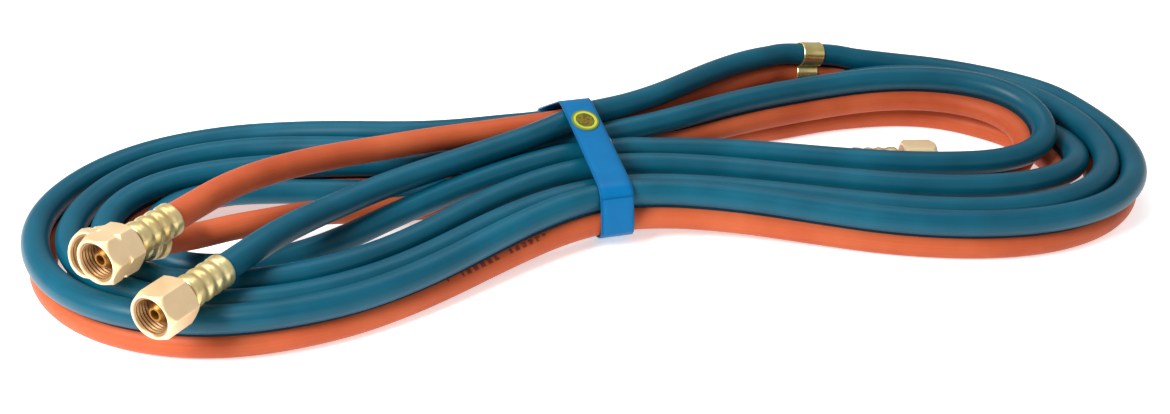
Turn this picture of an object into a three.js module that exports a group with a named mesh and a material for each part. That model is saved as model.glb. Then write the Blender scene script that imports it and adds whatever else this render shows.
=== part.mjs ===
// Twin welding hose set, coiled flat and strapped.
// An oxygen hose and a fuel gas hose are bonded side by side for most of their
// length. The pair is wound into a peanut-shaped flat coil, pinched at the waist
// by a strap, and split at both ends into single tails. Each tail ends in a
// crimped ferrule, a barbed stem with a cone nose, and a loose swivel nut.
//
// Units are millimetres. Z is up, the coil lies on z = 0 with its long axis along X,
// and the origin is the middle of its footprint. Both outer tails and the fuel inner
// tail end towards -X, -Y; the oxygen inner tail ends inside the coil, facing +X.

import * as THREE from 'three';

// ---------------------------------------------------------------- dimensions
const HOSE = {
  radius: 5.8, // to the corners of the section
  sides: 8,
  boreRadius: 3.1, // opened by the barbed stem
  boreDepth: 20,
  lengthInFerrule: 21,
};
const CUT_GAP = 0.3; // between neighbouring hose lengths
const FLEX_GAP = 2.6; // between hose lengths at a bending point

// Distances along a fitting are measured from the ferrule's rear edge, towards the nose.
const FERRULE = {
  length: 23,
  radius: 7.2,
  boreRadius: 6.3,
  boreEnd: 21.4,
  mouthRadius: 3.7, // hole through the front wall
  chamfer: 0.6,
  rimRadius: 6.7, // at both chamfered ends
  grooveRadius: 6.75,
  grooveHalfWidth: 1.4,
  grooveCentres: [5.6, 11, 16.4],
  sides: 12,
};
const STEM = { rear: 2, nose: 39.5, boreRadius: 1.9, sides: 12 };
const NUT = {
  rear: 25.5,
  front: 42,
  acrossFlats: 19,
  cornerLimit: 11.2, // just outside the hexagon's corners
  chamfer: 0.9,
  rearRimRadius: 9.4,
  frontRimRadius: 9.45,
  mouthRadius: 8,
  mouthChamfer: 0.6,
  threadRadius: 7.6,
  threadEnd: 30.9,
  rearBoreRadius: 5.1,
  sides: 18,
};
const CLIP = {
  length: 13,
  arcSteps: 10,
  inner: { radius: 6.25, waist: 3.1 }, // waist: half the width of the pinch
  outer: { radius: 7.15, waist: 4 },
};
const STRAP_WIDTH = 16;
const TAB_WIDTH = STRAP_WIDTH - 1;

// Moves the layout below to the origin described at the top.
const BASE_SHIFT = [-15.379, -22.774, -0.2];

// ---------------------------------------------------------- hose centrelines
// Each table is a list of [x, y, z], before BASE_SHIFT. A hose runs through its end,
// middle and held lengths (outer tail), then the coil, then the inner tail.
const OXYGEN_COIL = [
  [147.15,143.43,26.69], [164.55,146.35,23.76], [180.07,144.97,20.89], [195.63,142.57,19.12],
  [214.91,137,18.05], [229.81,130.39,17.44], [243.7,121.55,17.09], [255.95,110.25,17.27],
  [261.35,103.79,17.49], [266.12,96.83,17.75], [270.04,89.34,18.01], [272.9,81.38,18.23],
  [277.22,60.58,18.5], [279.61,39.71,18.57], [278.88,23.23,18.52], [275.19,7.42,18.39],
  [272.21,-0.05,18.33], [268.47,-7.13,18.27], [261.46,-16.81,18.21], [255.92,-22.53,18.19],
  [249.78,-27.6,18.2], [243.12,-31.98,18.25], [236.05,-35.66,18.31], [228.64,-38.66,18.36],
  [217.08,-41.92,18.43], [201.17,-44.14,18.49], [181.06,-43.93,18.5], [161.15,-41.05,18.49],
  [141.71,-36.09,18.53], [122.78,-29.72,18.99], [89.26,-17.26,20.59], [66.49,-10.42,21.97],
  [54.88,-8.01,22.71], [43.15,-6.49,23.52], [31.35,-6.01,24.3], [19.58,-6.71,24.86],
  [7.97,-8.69,25.02], [0.39,-10.74,24.87], [-7.03,-13.36,24.55], [-17.78,-18.25,23.84],
  [-34.74,-28.39,22.54], [-50.91,-39.89,21.39], [-66.96,-51.61,20.38], [-80.18,-60.39,19.82],
  [-94.02,-68.08,19.42], [-108.51,-74.35,19.23], [-127.57,-79.71,19.34], [-143.35,-81.74,19.15],
  [-155.33,-81.85,18.95], [-163.32,-81.21,18.85], [-179.08,-78.11,18.74], [-194.25,-72.69,18.7],
  [-204.96,-67.14,18.62], [-214.87,-60.3,18.51], [-223.78,-52.24,18.44], [-231.49,-43.1,18.47],
  [-237.87,-33.04,18.49], [-242.89,-22.28,18.52], [-247.47,-7.22,18.57], [-249.14,4.4,18.62],
  [-249.04,16.07,18.69], [-247.02,27.53,18.81], [-243.18,38.51,18.94], [-237.71,48.78,19.08],
  [-230.76,58.14,19.21], [-222.49,66.42,19.29], [-213.07,73.44,19.31], [-202.75,79.17,19.27],
  [-187.96,84.79,19.15], [-176.37,87.54,19.14], [-160.66,89.45,19.1], [-136.95,89.26,19.15],
  [-117.35,87.26,19.29], [-97.93,84.93,19.12], [-82.46,83.8,18.78], [-67.08,84.05,18.27],
  [-55.71,85.51,17.75], [-44.56,88.07,17.07], [-26.31,93.46,15.45], [-19.41,96.46,14.34],
  [-6.01,104.02,11.78], [4.72,109.11,9.95], [16.14,113.08,8.46], [23.97,115.07,7.73],
  [43.84,118.32,6.69], [71.76,121.41,6.37], [99.44,125.01,6.27], [126.5,131.4,6.36],
  [142.06,134.46,7.48], [157.75,135.45,10.27], [177.3,133.79,14.41], [196.77,129.65,16.76],
  [211.99,124.85,17.5], [226.43,118.06,17.71], [236.39,111.45,17.78], [248,100.62,18.14],
  [255.12,91.03,18.58], [258.82,83.92,18.91], [261.44,76.3,19.33], [265.46,56.32,20.17],
  [267.19,40.42,20.08], [266.46,24.83,19.51], [264.97,17.28,19.3], [262.65,10.01,19.12],
  [257.56,-0.13,18.89], [250.63,-9.09,18.69], [245.13,-14.28,18.58], [239.04,-18.81,18.49],
  [232.44,-22.64,18.43], [225.43,-25.78,18.38], [210.53,-30.04,18.34], [194.94,-31.74,18.33],
  [179.16,-31.13,18.38], [163.49,-28.69,18.41], [144.21,-23.75,18.43], [117.87,-14.65,18.42],
  [88.06,-3.83,18.58], [65.31,2.73,19.02], [49.9,5.69,19.52], [38.25,6.91,19.98],
  [26.59,7.12,20.39], [15.02,6.23,20.6], [3.65,4.24,20.57], [-7.43,1.16,20.38],
  [-24.96,-6.4,19.86], [-41.18,-16.48,19.39], [-59.52,-30.41,18.88], [-81.32,-46.43,18.24],
  [-94.66,-54.43,18.07], [-108.79,-61.07,18.12], [-127.46,-66.9,18.23], [-142.88,-69.16,18.29],
  [-158.36,-69.09,18.31], [-173.51,-66.58,18.32], [-184.35,-62.9,18.37], [-197.77,-55.69,18.44],
  [-209.78,-46.29,18.44], [-217.64,-37.99,18.41], [-226.19,-25.42,18.33], [-230.7,-15,18.31],
  [-233.18,-3.97,18.48], [-233.44,7.3,18.8], [-231.59,18.41,19.17], [-229.32,25.59,19.43],
  [-226.29,32.49,19.67], [-220.35,42.11,19.99], [-212.77,50.59,20.22], [-203.78,57.69,20.3],
  [-193.66,63.3,20.21], [-182.74,67.45,19.95], [-167.42,70.89,19.59], [-151.73,72.26,19.21],
  [-132.09,71.7,18.65], [-100.85,67.43,18.42], [-69.66,63.07,18.16], [-61.88,62.4,18.03],
  [-54.13,62.69,17.98], [-46.5,64.29,18.18], [-39.07,66.98,18.63], [-31.83,70.48,19.02],
  [-21.11,76.37,18.8], [-9.91,81.27,17.79], [1.7,84.74,15.84], [20.49,89.24,10.51],
  [35.89,92.11,7.75], [59.59,95.18,6.43], [79.42,97.35,6.18], [99.23,99.89,6.17],
  [114.9,102.86,6.18], [138.02,108.61,6.19], [149.69,110.61,6.19], [173.24,112.27,6.18],
  [185.03,111.88,6.16], [192.83,110.87,6.14], [204.23,108.06,6.12], [211.46,105.26,6.15],
  [218.29,101.7,6.26], [227.71,95.06,6.64], [236.17,87.23,7.45], [243.63,78.69,8.76],
  [247.62,72.55,9.8], [250.68,66.01,10.79], [254.04,55.8,12.2], [255.93,45.32,13.49],
  [255.98,34.75,14.64], [254.95,27.8,15.38], [251.61,17.85,16.38], [248.03,11.79,16.91],
  [243.41,6.39,17.35], [234.83,-0.22,17.86], [224.8,-4.98,18.17], [210.03,-8.63,18.37],
  [198.39,-9.56,18.49], [182.59,-8.83,18.51], [166.81,-6.31,18.49], [151.26,-2.46,18.52],
  [124.55,6.07,18.5], [94.29,16.26,18.57], [67.31,23.45,19.52], [51.61,26.05,20.29],
  [39.75,27.03,20.96], [27.88,27.07,21.62], [16.08,26.11,22.09], [4.46,24.11,22.22],
  [-6.9,21.05,21.98], [-17.89,16.98,21.49], [-31.87,10.1,20.71], [-41.81,3.97,20.17],
  [-51.29,-2.83,19.68], [-75.54,-22.38,18.53], [-88.07,-31.73,18.31], [-101.43,-39.99,18.3],
  [-112.09,-45.16,18.34], [-127.07,-50.36,18.35], [-142.64,-53.41,18.4], [-158.38,-53.99,18.35],
  [-169.98,-52.59,18.22], [-181.07,-49.47,18.05], [-188,-46.36,17.96], [-197.43,-40.22,17.89],
  [-205.45,-32.53,17.92], [-211.82,-23.61,18.16], [-216.2,-13.72,18.61], [-218.3,-3.23,19.19],
  [-218.32,3.87,19.61], [-217.17,10.85,20.05], [-214.79,17.53,20.46], [-211.21,23.71,20.8],
  [-203.94,31.81,21.05], [-198.12,36.35,21.02], [-188.32,41.9,20.75], [-177.61,46.04,20.35],
  [-166.32,48.93,19.91], [-150.73,51.18,19.35], [-130.84,51.99,18.79], [-98.78,50.68,18.16],
  [-66.68,49.09,17.65], [-54.66,48.76,17.84], [-42.75,49.47,18.24], [-31.04,51.37,19.13],
  [-8.02,56.27,21.66], [11.15,57.68,23.34], [22.48,59.67,24.22], [44.82,65.72,25.26],
  [67.1,72.71,26.75], [89.88,79.33,28.5], [120.98,86.73,29.8], [136.64,89.38,30.43],
  [148.36,90.66,31.11], [160.09,91.15,31.86], [171.79,90.72,32.51], [190.99,87.82,33.26],
  [202.15,84.71,33.43], [209.33,82.03,33.38], [219.48,77.05,33.01], [225.7,73.07,32.47],
  [231.29,68.55,31.62], [236.1,63.47,30.45], [239.88,57.87,28.95], [242.37,51.84,27.18],
  [243.36,45.54,25.32], [242.72,39.23,23.6], [241.76,36.18,22.83], [238.57,30.56,21.49],
  [233.92,25.8,20.39], [228.16,22.04,19.54], [221.65,19.23,18.96], [210.97,16.58,18.48],
  [199.65,15.5,18.38], [184.09,15.95,18.5], [168.37,18.03,18.49], [152.69,21.17,18.57],
  [125.49,28.07,18.9], [98.41,35.17,19.58], [71.05,40.57,20.42], [51.29,42.65,21.11],
  [31.4,43.35,22.17], [11.53,41.48,22.5],
];
const FUEL_COIL = [
  [144.73,146.03,14.49], [156.8,148.44,12.63], [164.21,148.68,11.29], [186.76,144.41,7.49],
  [197.77,141,6.51], [208.53,136.52,6.16], [225.83,127.11,6.1], [242.08,115.55,6.13],
  [256.64,101.78,6.14], [266.43,89.07,6.12], [270.31,82.07,6.11], [273.46,74.71,6.1],
  [277.97,59.44,6.11], [279.86,43.77,6.11], [278.95,28.13,6.11], [275.38,13,6.11],
  [269.25,-1.13,6.14], [260.61,-13.75,6.14], [249.71,-24.4,6.13], [236.95,-32.81,6.14],
  [229.99,-36.09,6.15], [219.02,-39.83,6.14], [211.42,-41.55,6.14], [199.75,-43.04,6.14],
  [179.93,-42.81,6.12], [164.03,-40.58,6.12], [144.33,-35.89,6.15], [124.92,-29.76,6.55],
  [105.7,-22.98,7.35], [86.55,-16.4,8.38], [63.41,-10.09,9.75], [51.7,-8.05,10.51],
  [39.93,-6.99,11.33], [28.16,-7.05,12.08], [20.37,-7.75,12.44], [12.64,-9,12.61],
  [1.24,-11.87,12.49], [-9.87,-15.85,11.94], [-20.64,-20.81,11.16], [-37.93,-30.69,9.82],
  [-58.11,-43.97,8.53], [-82,-59.25,7.53], [-96.28,-66.92,7.2], [-111.16,-73.27,7.05],
  [-130.45,-78.73,7], [-146.27,-80.69,6.71], [-162.14,-80.33,6.46], [-177.69,-77.57,6.35],
  [-192.55,-72.43,6.34], [-206.34,-65.03,6.27], [-218.67,-55.53,6.16], [-229.21,-44.2,6.15],
  [-237.64,-31.34,6.13], [-243.69,-17.29,6.14], [-247.11,-2.48,6.19], [-247.73,12.62,6.29],
  [-245.45,27.49,6.43], [-241.87,38.17,6.54], [-234.73,51.35,6.69], [-225.14,62.92,6.82],
  [-213.5,72.52,6.87], [-200.23,79.96,6.84], [-185.78,85.18,6.77], [-170.49,88.29,6.8],
  [-154.64,89.52,6.74], [-138.56,89.19,6.78], [-118.37,87.23,6.85], [-98.21,84.41,6.66],
  [-74.06,81.47,6.31], [-57.99,80.73,6.33], [-46.02,81.4,6.56], [-30.23,83.48,7.06],
  [-18.6,85.98,7.48], [-11.15,88.7,7.69], [10.57,98.38,7.62], [25.51,102.73,7.11],
  [44.79,105.89,6.48], [72.22,108.95,6.14], [99.87,112.54,6.1], [119.46,116.81,6.1],
  [142.74,122.13,6.1], [162.45,124.15,6.1], [178.13,124.67,6.11], [189.67,123.92,6.23],
  [204.65,120.95,6.6], [215.34,117.16,6.75], [225.32,112.02,6.82], [234.46,105.65,6.89],
  [245.37,95.64,7.03], [252.61,87.26,7], [258.49,78,7.01], [262.72,67.92,7.38],
  [265.7,57.42,7.75], [267.25,46.65,7.85], [267.22,35.78,7.51], [265.6,25.05,7.08],
  [262.43,14.71,6.87], [257.71,4.99,6.76], [251.51,-3.85,6.61], [243.95,-11.58,6.45],
  [235.21,-18.03,6.31], [222.09,-24.47,6.18], [207.81,-28.38,6.13], [192.83,-29.93,6.13],
  [177.47,-29.39,6.14], [162.01,-27.05,6.12], [146.62,-23.35,6.12], [127.55,-17.41,6.11],
  [108.57,-10.8,6.12], [89.62,-4.34,6.2], [66.73,2.06,6.61], [55.18,4.32,6.97],
  [43.57,5.72,7.41], [31.96,6.14,7.87], [20.4,5.49,8.2], [8.99,3.71,8.3],
  [-2.21,0.85,8.2], [-13.13,-3.03,7.93], [-23.73,-7.82,7.56], [-40.78,-17.33,6.96],
  [-63.93,-32.32,6.39], [-87.4,-46.94,6.13], [-101.24,-54.4,6.11], [-115.51,-60.6,6.12],
  [-130.28,-64.95,6.11], [-145.41,-67.04,6.11], [-156.79,-66.98,6.11], [-171.71,-64.72,6.11],
  [-185.94,-60.01,6.13], [-195.89,-54.87,6.13], [-207.77,-46.02,6.13], [-215.42,-38.07,6.13],
  [-223.55,-25.97,6.15], [-227.86,-16.02,6.16], [-230.49,-5.59,6.28], [-231.35,5.06,6.5],
  [-230.38,15.67,6.77], [-227.6,25.93,7.08], [-223.07,35.57,7.4], [-219.14,41.53,7.59],
  [-214.56,47.02,7.75], [-206.56,54.27,7.88], [-194.19,61.95,7.82], [-183.94,66.15,7.6],
  [-169.37,69.83,7.3], [-154.06,71.57,6.95], [-138.26,71.81,6.47], [-110.19,70.12,6.16],
  [-82.03,68.15,6.37], [-65.95,67.74,6.73], [-53.94,68.15,6.8], [-38.03,69.85,6.77],
  [-3.28,75.23,7.78], [16.21,76.83,7.55], [51.63,81.81,6.41], [75.18,84.45,6.14],
  [102.34,87.82,6.1], [117.51,90.68,6.1], [139.67,96.26,6.11], [150.75,98.2,6.12],
  [172.78,99.83,6.12], [183.59,99.51,6.13], [190.66,98.61,6.13], [200.9,96.06,6.13],
  [207.36,93.49,6.14], [213.39,90.18,6.14], [221.55,84.08,6.14], [228.86,77.14,6.17],
  [235.29,69.66,6.25], [240.14,61.32,6.18], [243.72,52.48,6.12], [246.1,43.43,6.13],
  [246.83,37.32,6.13], [246.58,28.21,6.2], [245.41,22.31,6.29], [241.91,14.02,6.33],
  [238.44,9.07,6.28], [234.17,4.69,6.22], [226.5,-0.67,6.14], [217.66,-4.55,6.12],
  [204.6,-7.52,6.13], [194.15,-8.22,6.12], [179.69,-7.4,6.11], [164.86,-4.98,6.17],
  [149.77,-1.29,6.19], [123.06,6.98,6.14], [95.97,15.76,6.21], [68.57,22.9,7.1],
  [52.75,25.46,7.85], [40.85,26.4,8.51], [28.96,26.37,9.17], [17.17,25.29,9.67],
  [5.54,23.14,9.83], [-5.84,19.93,9.62], [-16.91,15.71,9.14], [-27.62,10.6,8.55],
  [-48.08,-1.67,7.42], [-77.48,-22.37,6.21], [-90.7,-31.21,6.11], [-104.28,-39.07,6.16],
  [-114.76,-44,6.18], [-129.1,-48.88,6.12], [-140.02,-51.09,6.12], [-154.62,-51.83,6.12],
  [-165.34,-50.61,6.11], [-175.64,-47.86,6.11], [-185.27,-43.62,6.11], [-194,-38,6.11],
  [-201.58,-31.12,6.13], [-207.74,-23.11,6.29], [-212.16,-14.18,6.66], [-214.56,-4.6,7.16],
  [-214.93,1.95,7.55], [-213.57,11.7,8.14], [-211.37,17.94,8.47], [-208.17,23.81,8.7],
  [-201.63,31.63,8.79], [-193.38,38.07,8.59], [-183.87,43.12,8.19], [-173.47,46.94,7.73],
  [-162.44,49.66,7.28], [-147.08,51.94,6.76], [-127.22,53.28,6.3], [-102.9,53.81,6.11],
  [-78.36,54.32,6.2], [-49.79,55.76,7.65], [-33.65,58.03,8.83], [-9.59,62.53,11],
  [18.66,66.85,14.4], [38.96,70.14,14.2], [63.37,73.54,14.18], [95.5,79.81,16.41],
  [115.42,84.27,17.3], [135.32,88.05,18.07], [155.13,90.26,19.2], [174.45,90.11,20.27],
  [192.77,87.12,20.93], [202.93,83.87,21.02], [209.25,81.09,20.96], [217.86,76,20.72],
  [222.92,72.03,20.39], [227.32,67.62,19.88], [230.97,62.81,19.14], [233.71,57.66,18.15],
  [235.39,52.29,16.89], [235.91,46.85,15.37], [235.23,41.54,13.71], [233.36,36.55,11.98],
  [230.4,32.03,10.3], [226.53,28.05,8.85], [219.3,23.16,7.35], [210.77,19.74,6.47],
  [201.33,17.74,6.15], [191.29,17.01,6.11], [180.83,17.36,6.1], [170.1,18.59,6.12],
  [155.47,21.29,6.15], [129.32,27.68,6.37], [102.56,34.26,6.99], [75.21,39.07,7.85],
  [55.41,40.71,8.59], [35.51,40.85,9.61], [27.54,40.54,10.04], [11.86,38.76,10.1],
];
const OXYGEN_HELD = [
  [-15.09,48.27,32.21], [-1.22,55.45,34.31], [8.91,61.45,34.65], [28.95,73.81,32.48],
  [45,85.01,31.25], [60.56,96.68,30.84], [79.09,110.45,31.05], [101.35,124.91,31.03],
  [128.04,138.66,29.37], [135.09,140.91,28.53], [147.15,143.43,26.69],
];
const FUEL_HELD = [
  [-18.48,65.93,27.38], [-3.82,71.7,26.28], [10.27,78.14,24.85], [30.59,88.61,22.12],
  [54.01,101.07,19.52], [74.32,111.72,18.61], [101.34,126.42,18.6], [118.06,135.53,17.63],
  [128,141.72,16.93], [135.02,144.02,16], [144.73,146.03,14.49],
];
const OXYGEN_MIDDLE = [
  [-95.74,6.55,27.71], [-79.05,17.4,27.86], [-61.64,26.9,28.35], [-40.19,37,29.61],
  [-15.09,48.27,32.21],
];
const FUEL_MIDDLE = [
  [-107.73,23.57,38.26], [-87.4,36.14,34.74], [-64.81,48.11,31.62], [-49.2,54.88,29.8],
  [-18.48,65.93,27.38],
];
const OXYGEN_END = [
  [-156.92,-68.08,33.8], [-139.77,-40.84,32.02], [-125.51,-20.7,29.29], [-114.4,-8.68,27.98],
  [-95.74,6.55,27.71],
];
const FUEL_END = [
  [-177.07,-52.08,50], [-159.75,-25.28,48.3], [-147.25,-9.9,46.26], [-130.05,6.67,42.79],
  [-107.73,23.57,38.26],
];
const OXYGEN_INNER = [
  [11.53,41.48,22.5], [-7.93,38.64,22.4], [-27.03,33.15,20.87], [-45.63,26.56,18.96],
  [-70.63,15.29,16.07], [-91.17,4.44,13.29], [-111.38,-6.43,10.21], [-128.87,-13.74,8.03],
  [-139.74,-16.78,7.1], [-147.06,-18.15,6.64], [-157.99,-19.16,6.22], [-165.14,-19.08,6.12],
  [-178.66,-16.97,6.18], [-184.77,-14.79,6.42], [-190.22,-11.77,6.94], [-194.77,-7.91,7.75],
  [-198.2,-3.32,8.79], [-200.32,1.83,9.97], [-200.99,7.28,11.19], [-200.17,12.74,12.37],
  [-197.98,17.93,13.39], [-194.59,22.66,14.15], [-190.2,26.8,14.59], [-185,30.28,14.69],
  [-179.16,33.09,14.51], [-166.14,36.98,13.57], [-151.99,39.1,12.23], [-133.38,40.13,10.55],
  [-110.33,40.06,8.88], [-83.07,39.62,7.27], [-55.71,40.43,6.54], [-28.79,46.43,6.98],
  [-1.33,52.22,7.77], [18.31,56.38,7.57], [41.78,60.42,6.88], [53.54,61.28,7.24],
  [65.3,60.57,8.01], [77.04,58.26,8.75], [84.63,55.48,9.13], [103.29,47.06,9.68],
  [114.8,43.45,9.79], [142.65,40.47,9.8],
];
const FUEL_INNER = [
  [11.86,38.76,10.1], [-4.11,36.76,9.86], [-39.55,30.57,6.81], [-67.22,26.13,6.21],
  [-94.82,21.44,7.71], [-106.46,18.65,9.65], [-117.78,15.06,12.15], [-128.98,10.79,14.05],
  [-154.72,-0.56,16.77], [-169.27,-7.96,18.15], [-175.41,-12.92,19.53], [-188.04,-31.82,28],
];

// ----------------------------------------------------------------- materials
function material({ name, ...settings }) {
  const result = new THREE.MeshStandardMaterial(settings);
  result.name = name;
  return result;
}
const blueRubber = () =>
  material({ name: 'blue_rubber', color: 0x1c5570, roughness: 0.5, metalness: 0 });
const orangeRubber = () =>
  material({ name: 'orange_rubber', color: 0xc8603a, roughness: 0.55, metalness: 0 });
const brass = () =>
  material({ name: 'brass', color: 0xcfa768, roughness: 0.35, metalness: 1 });
const paleBrass = () =>
  material({ name: 'pale_brass', color: 0xdcc690, roughness: 0.35, metalness: 1 });
const blueStrap = () =>
  material({ name: 'blue_strap', color: 0x0a7dbe, roughness: 0.35, metalness: 0 });
const labelGreen = () =>
  material({ name: 'label', color: 0xb9c23c, roughness: 0.45, metalness: 0 });

// ------------------------------------------------------------------- helpers
const UP = new THREE.Vector3(0, 0, 1);
const vector = (coordinates) => new THREE.Vector3(...coordinates);
const cross = (a, b) => new THREE.Vector3().crossVectors(a, b).normalize();

// A closed body from rings of points. Consecutive rings are joined; the last ring
// is joined to the first when looped, otherwise both are capped.
function ringBody(rings, looped) {
  const size = rings[0].length;
  const points = rings.flat();
  const triangles = [];
  const joins = looped ? rings.length : rings.length - 1;
  for (let i = 0; i < joins; i++) {
    const here = i * size;
    const next = ((i + 1) % rings.length) * size;
    for (let k = 0; k < size; k++) {
      const l = (k + 1) % size;
      triangles.push([here + k, here + l, next + l], [here + k, next + l, next + k]);
    }
  }
  const addCap = (start, flipped) => {
    const centre = new THREE.Vector3();
    for (let k = 0; k < size; k++) centre.add(points[start + k]);
    const hub = points.push(centre.divideScalar(size)) - 1;
    for (let k = 0; k < size; k++) {
      const edge = [start + k, start + ((k + 1) % size)];
      if (flipped) edge.reverse();
      triangles.push([...edge, hub]);
    }
  };
  if (!looped) {
    addCap(0, true);
    addCap((rings.length - 1) * size, false);
  }
  // a negative signed volume means the faces point inwards
  let volume = 0;
  for (const [a, b, c] of triangles) {
    volume += points[a].dot(points[b].clone().cross(points[c]));
  }
  if (volume < 0) triangles.forEach((triangle) => triangle.reverse());
  const geometry = new THREE.BufferGeometry().setFromPoints(points);
  geometry.setIndex(triangles.flat());
  geometry.computeVertexNormals();
  return geometry;
}

// A ring square to a direction. radiusAt gives the radius at corner k; turn is the
// ring's rotation as a fraction of one side.
function ringAround(centre, direction, sides, radiusAt, turn = 0) {
  const side = cross(direction, UP);
  const top = cross(side, direction);
  return Array.from({ length: sides }, (_, k) => {
    const angle = (2 * Math.PI * (k + turn)) / sides;
    const radius = radiusAt(k);
    return centre.clone()
      .addScaledVector(side, radius * Math.cos(angle))
      .addScaledVector(top, radius * Math.sin(angle));
  });
}

// --------------------------------------------------------------------- hoses
// A centreline as vectors, with a length cut off each end.
function trimmed(points, startCut, endCut) {
  const path = points.map(vector);
  const pullIn = (end, neighbour, cut) =>
    end.addScaledVector(neighbour.clone().sub(end).normalize(), cut);
  pullIn(path[0], path[1], startCut);
  pullIn(path.at(-1), path.at(-2), endCut);
  return path;
}

// Direction of a hose at a cut, shared by the two lengths that meet there.
const cutDirection = (before, after) => vector(after[1]).sub(vector(before.at(-2))).normalize();

// A round section swept along a path, with an optional blind bore at its start.
function hose(path, { bored = false, startDirection, endDirection } = {}) {
  const last = path.length - 1;
  const directions = path.map((_, i) =>
    path[Math.min(last, i + 1)].clone().sub(path[Math.max(0, i - 1)]).normalize());
  if (startDirection) directions[0] = startDirection;
  if (endDirection) directions[last] = endDirection;
  const ringAt = (centre, direction, radius) =>
    ringAround(centre, direction, HOSE.sides, () => radius, 0.5);
  const rings = path.map((point, i) => ringAt(point, directions[i], HOSE.radius));
  if (bored) {
    const [start, inward] = [path[0], directions[0]];
    const boreBottom = start.clone().addScaledVector(inward, HOSE.boreDepth);
    rings.unshift(
      ringAt(boreBottom, inward, HOSE.boreRadius),
      ringAt(start, inward, HOSE.boreRadius),
    );
  }
  return ringBody(rings, false);
}

// A tail length from inside its ferrule towards the coil.
function fittedHose(points, fitting, endCut, endDirection) {
  const tip = fitting.at.clone().addScaledVector(fitting.direction, HOSE.lengthInFerrule);
  return hose([tip, ...trimmed(points, 0, endCut)], { bored: true, endDirection });
}

// ------------------------------------------------------------------ fittings
// at: middle of the ferrule's rear edge; direction: towards the nose.
const placed = (at, direction) => ({
  at: vector(at),
  direction: vector(direction).normalize(),
});

// A solid turned about the fitting axis from a closed outline of
// [distance along the axis, radius, cut to the nut's hexagon].
function turned({ at, direction }, outline, sides) {
  const rings = outline.map(([distance, radius, hexagonal]) => {
    const radiusAt = (k) => {
      if (!hexagonal) return radius;
      const pastCorner = ((k * 360) / sides) % 60;
      const fromFlat = THREE.MathUtils.degToRad(pastCorner - 30);
      return Math.min(radius, NUT.acrossFlats / 2 / Math.cos(fromFlat));
    };
    const centre = at.clone().addScaledVector(direction, distance);
    return ringAround(centre, direction, sides, radiusAt);
  });
  return ringBody(rings, true);
}

function ferrule(fitting) {
  const grooves = FERRULE.grooveCentres.flatMap((centre) => [
    [centre - FERRULE.grooveHalfWidth, FERRULE.radius],
    [centre, FERRULE.grooveRadius],
    [centre + FERRULE.grooveHalfWidth, FERRULE.radius],
  ]);
  const outline = [
    [0, FERRULE.boreRadius], [0, FERRULE.rimRadius], [FERRULE.chamfer, FERRULE.radius],
    ...grooves,
    [FERRULE.length - FERRULE.chamfer, FERRULE.radius], [FERRULE.length, FERRULE.rimRadius],
    [FERRULE.length, FERRULE.mouthRadius], [FERRULE.boreEnd, FERRULE.mouthRadius],
    [FERRULE.boreEnd, FERRULE.boreRadius],
  ];
  return turned(fitting, outline, FERRULE.sides);
}

function stem(fitting) {
  const outline = [
    [STEM.rear, STEM.boreRadius],
    [STEM.rear, 2.3], [6, 2.8], [6.5, 2.35], [12, 2.8], [12.5, 2.35], // barbs
    [23.3, 2.35], [23.3, 4.7], [31.4, 4.7], // neck
    [31.4, 6.9], [34.4, 6.9], // collar
    [STEM.nose, 3], [STEM.nose, STEM.boreRadius], // cone nose
  ];
  return turned(fitting, outline, STEM.sides);
}

function nut(fitting, grooved) {
  const corner = NUT.cornerLimit;
  const groove = [[33.3, corner, true], [33.7, 10.1, true], [34.9, 10.1, true], [35.3, corner, true]];
  const outline = [
    [NUT.rear, NUT.rearBoreRadius], [NUT.rear, NUT.rearRimRadius],
    [NUT.rear + NUT.chamfer, corner, true],
    ...(grooved ? groove : []),
    [NUT.front - NUT.chamfer, corner, true], [NUT.front, NUT.frontRimRadius],
    [NUT.front, NUT.mouthRadius], [NUT.front - NUT.mouthChamfer, NUT.threadRadius],
    [NUT.threadEnd, NUT.threadRadius], [NUT.threadEnd, NUT.rearBoreRadius],
  ];
  return turned(fitting, outline, NUT.sides);
}

// --------------------------------------------------------------------- clips
// Where the pair splits. direction runs along the hoses; fuelToOxygen joins their centres.
const OUTER_CLIP = {
  ...placed([145.944, 144.73, 20.59], [0.96842, 0.19928, -0.14983]),
  fuelToOxygen: vector([2.421, -2.597, 12.194]),
};
const INNER_CLIP = {
  ...placed([11.694, 40.123, 16.296], [-0.9929, -0.11892, -0.00063]),
  fuelToOxygen: vector([-0.333, 2.719, 12.401]),
};

// A band hugging two hoses, pinched between them.
function splitClip({ at, direction, fuelToOxygen }) {
  const halfSpacing = fuelToOxygen.length() / 2;
  const lengthwise = fuelToOxygen.dot(direction);
  const x = fuelToOxygen.clone().addScaledVector(direction, -lengthwise).normalize();
  const y = cross(direction, x);
  const outline = ({ radius, waist }) => {
    const sweep = Math.PI - Math.asin(waist / radius); // half the arc round one hose
    const points = [];
    for (const side of [1, -1]) {
      for (let k = 0; k <= CLIP.arcSteps; k++) {
        const angle = -sweep + (k / CLIP.arcSteps) * 2 * sweep;
        points.push([
          side * (halfSpacing + radius * Math.cos(angle)),
          side * radius * Math.sin(angle),
        ]);
      }
    }
    return points;
  };
  const place = (point, distance) => at.clone()
    .addScaledVector(x, point[0])
    .addScaledVector(y, point[1])
    .addScaledVector(direction, distance);
  const half = CLIP.length / 2;
  const outer = outline(CLIP.outer);
  const rings = outline(CLIP.inner).map((point, k) => [
    place(point, -half), place(point, half), place(outer[k], half), place(outer[k], -half),
  ]);
  return ringBody(rings, true);
}

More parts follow.
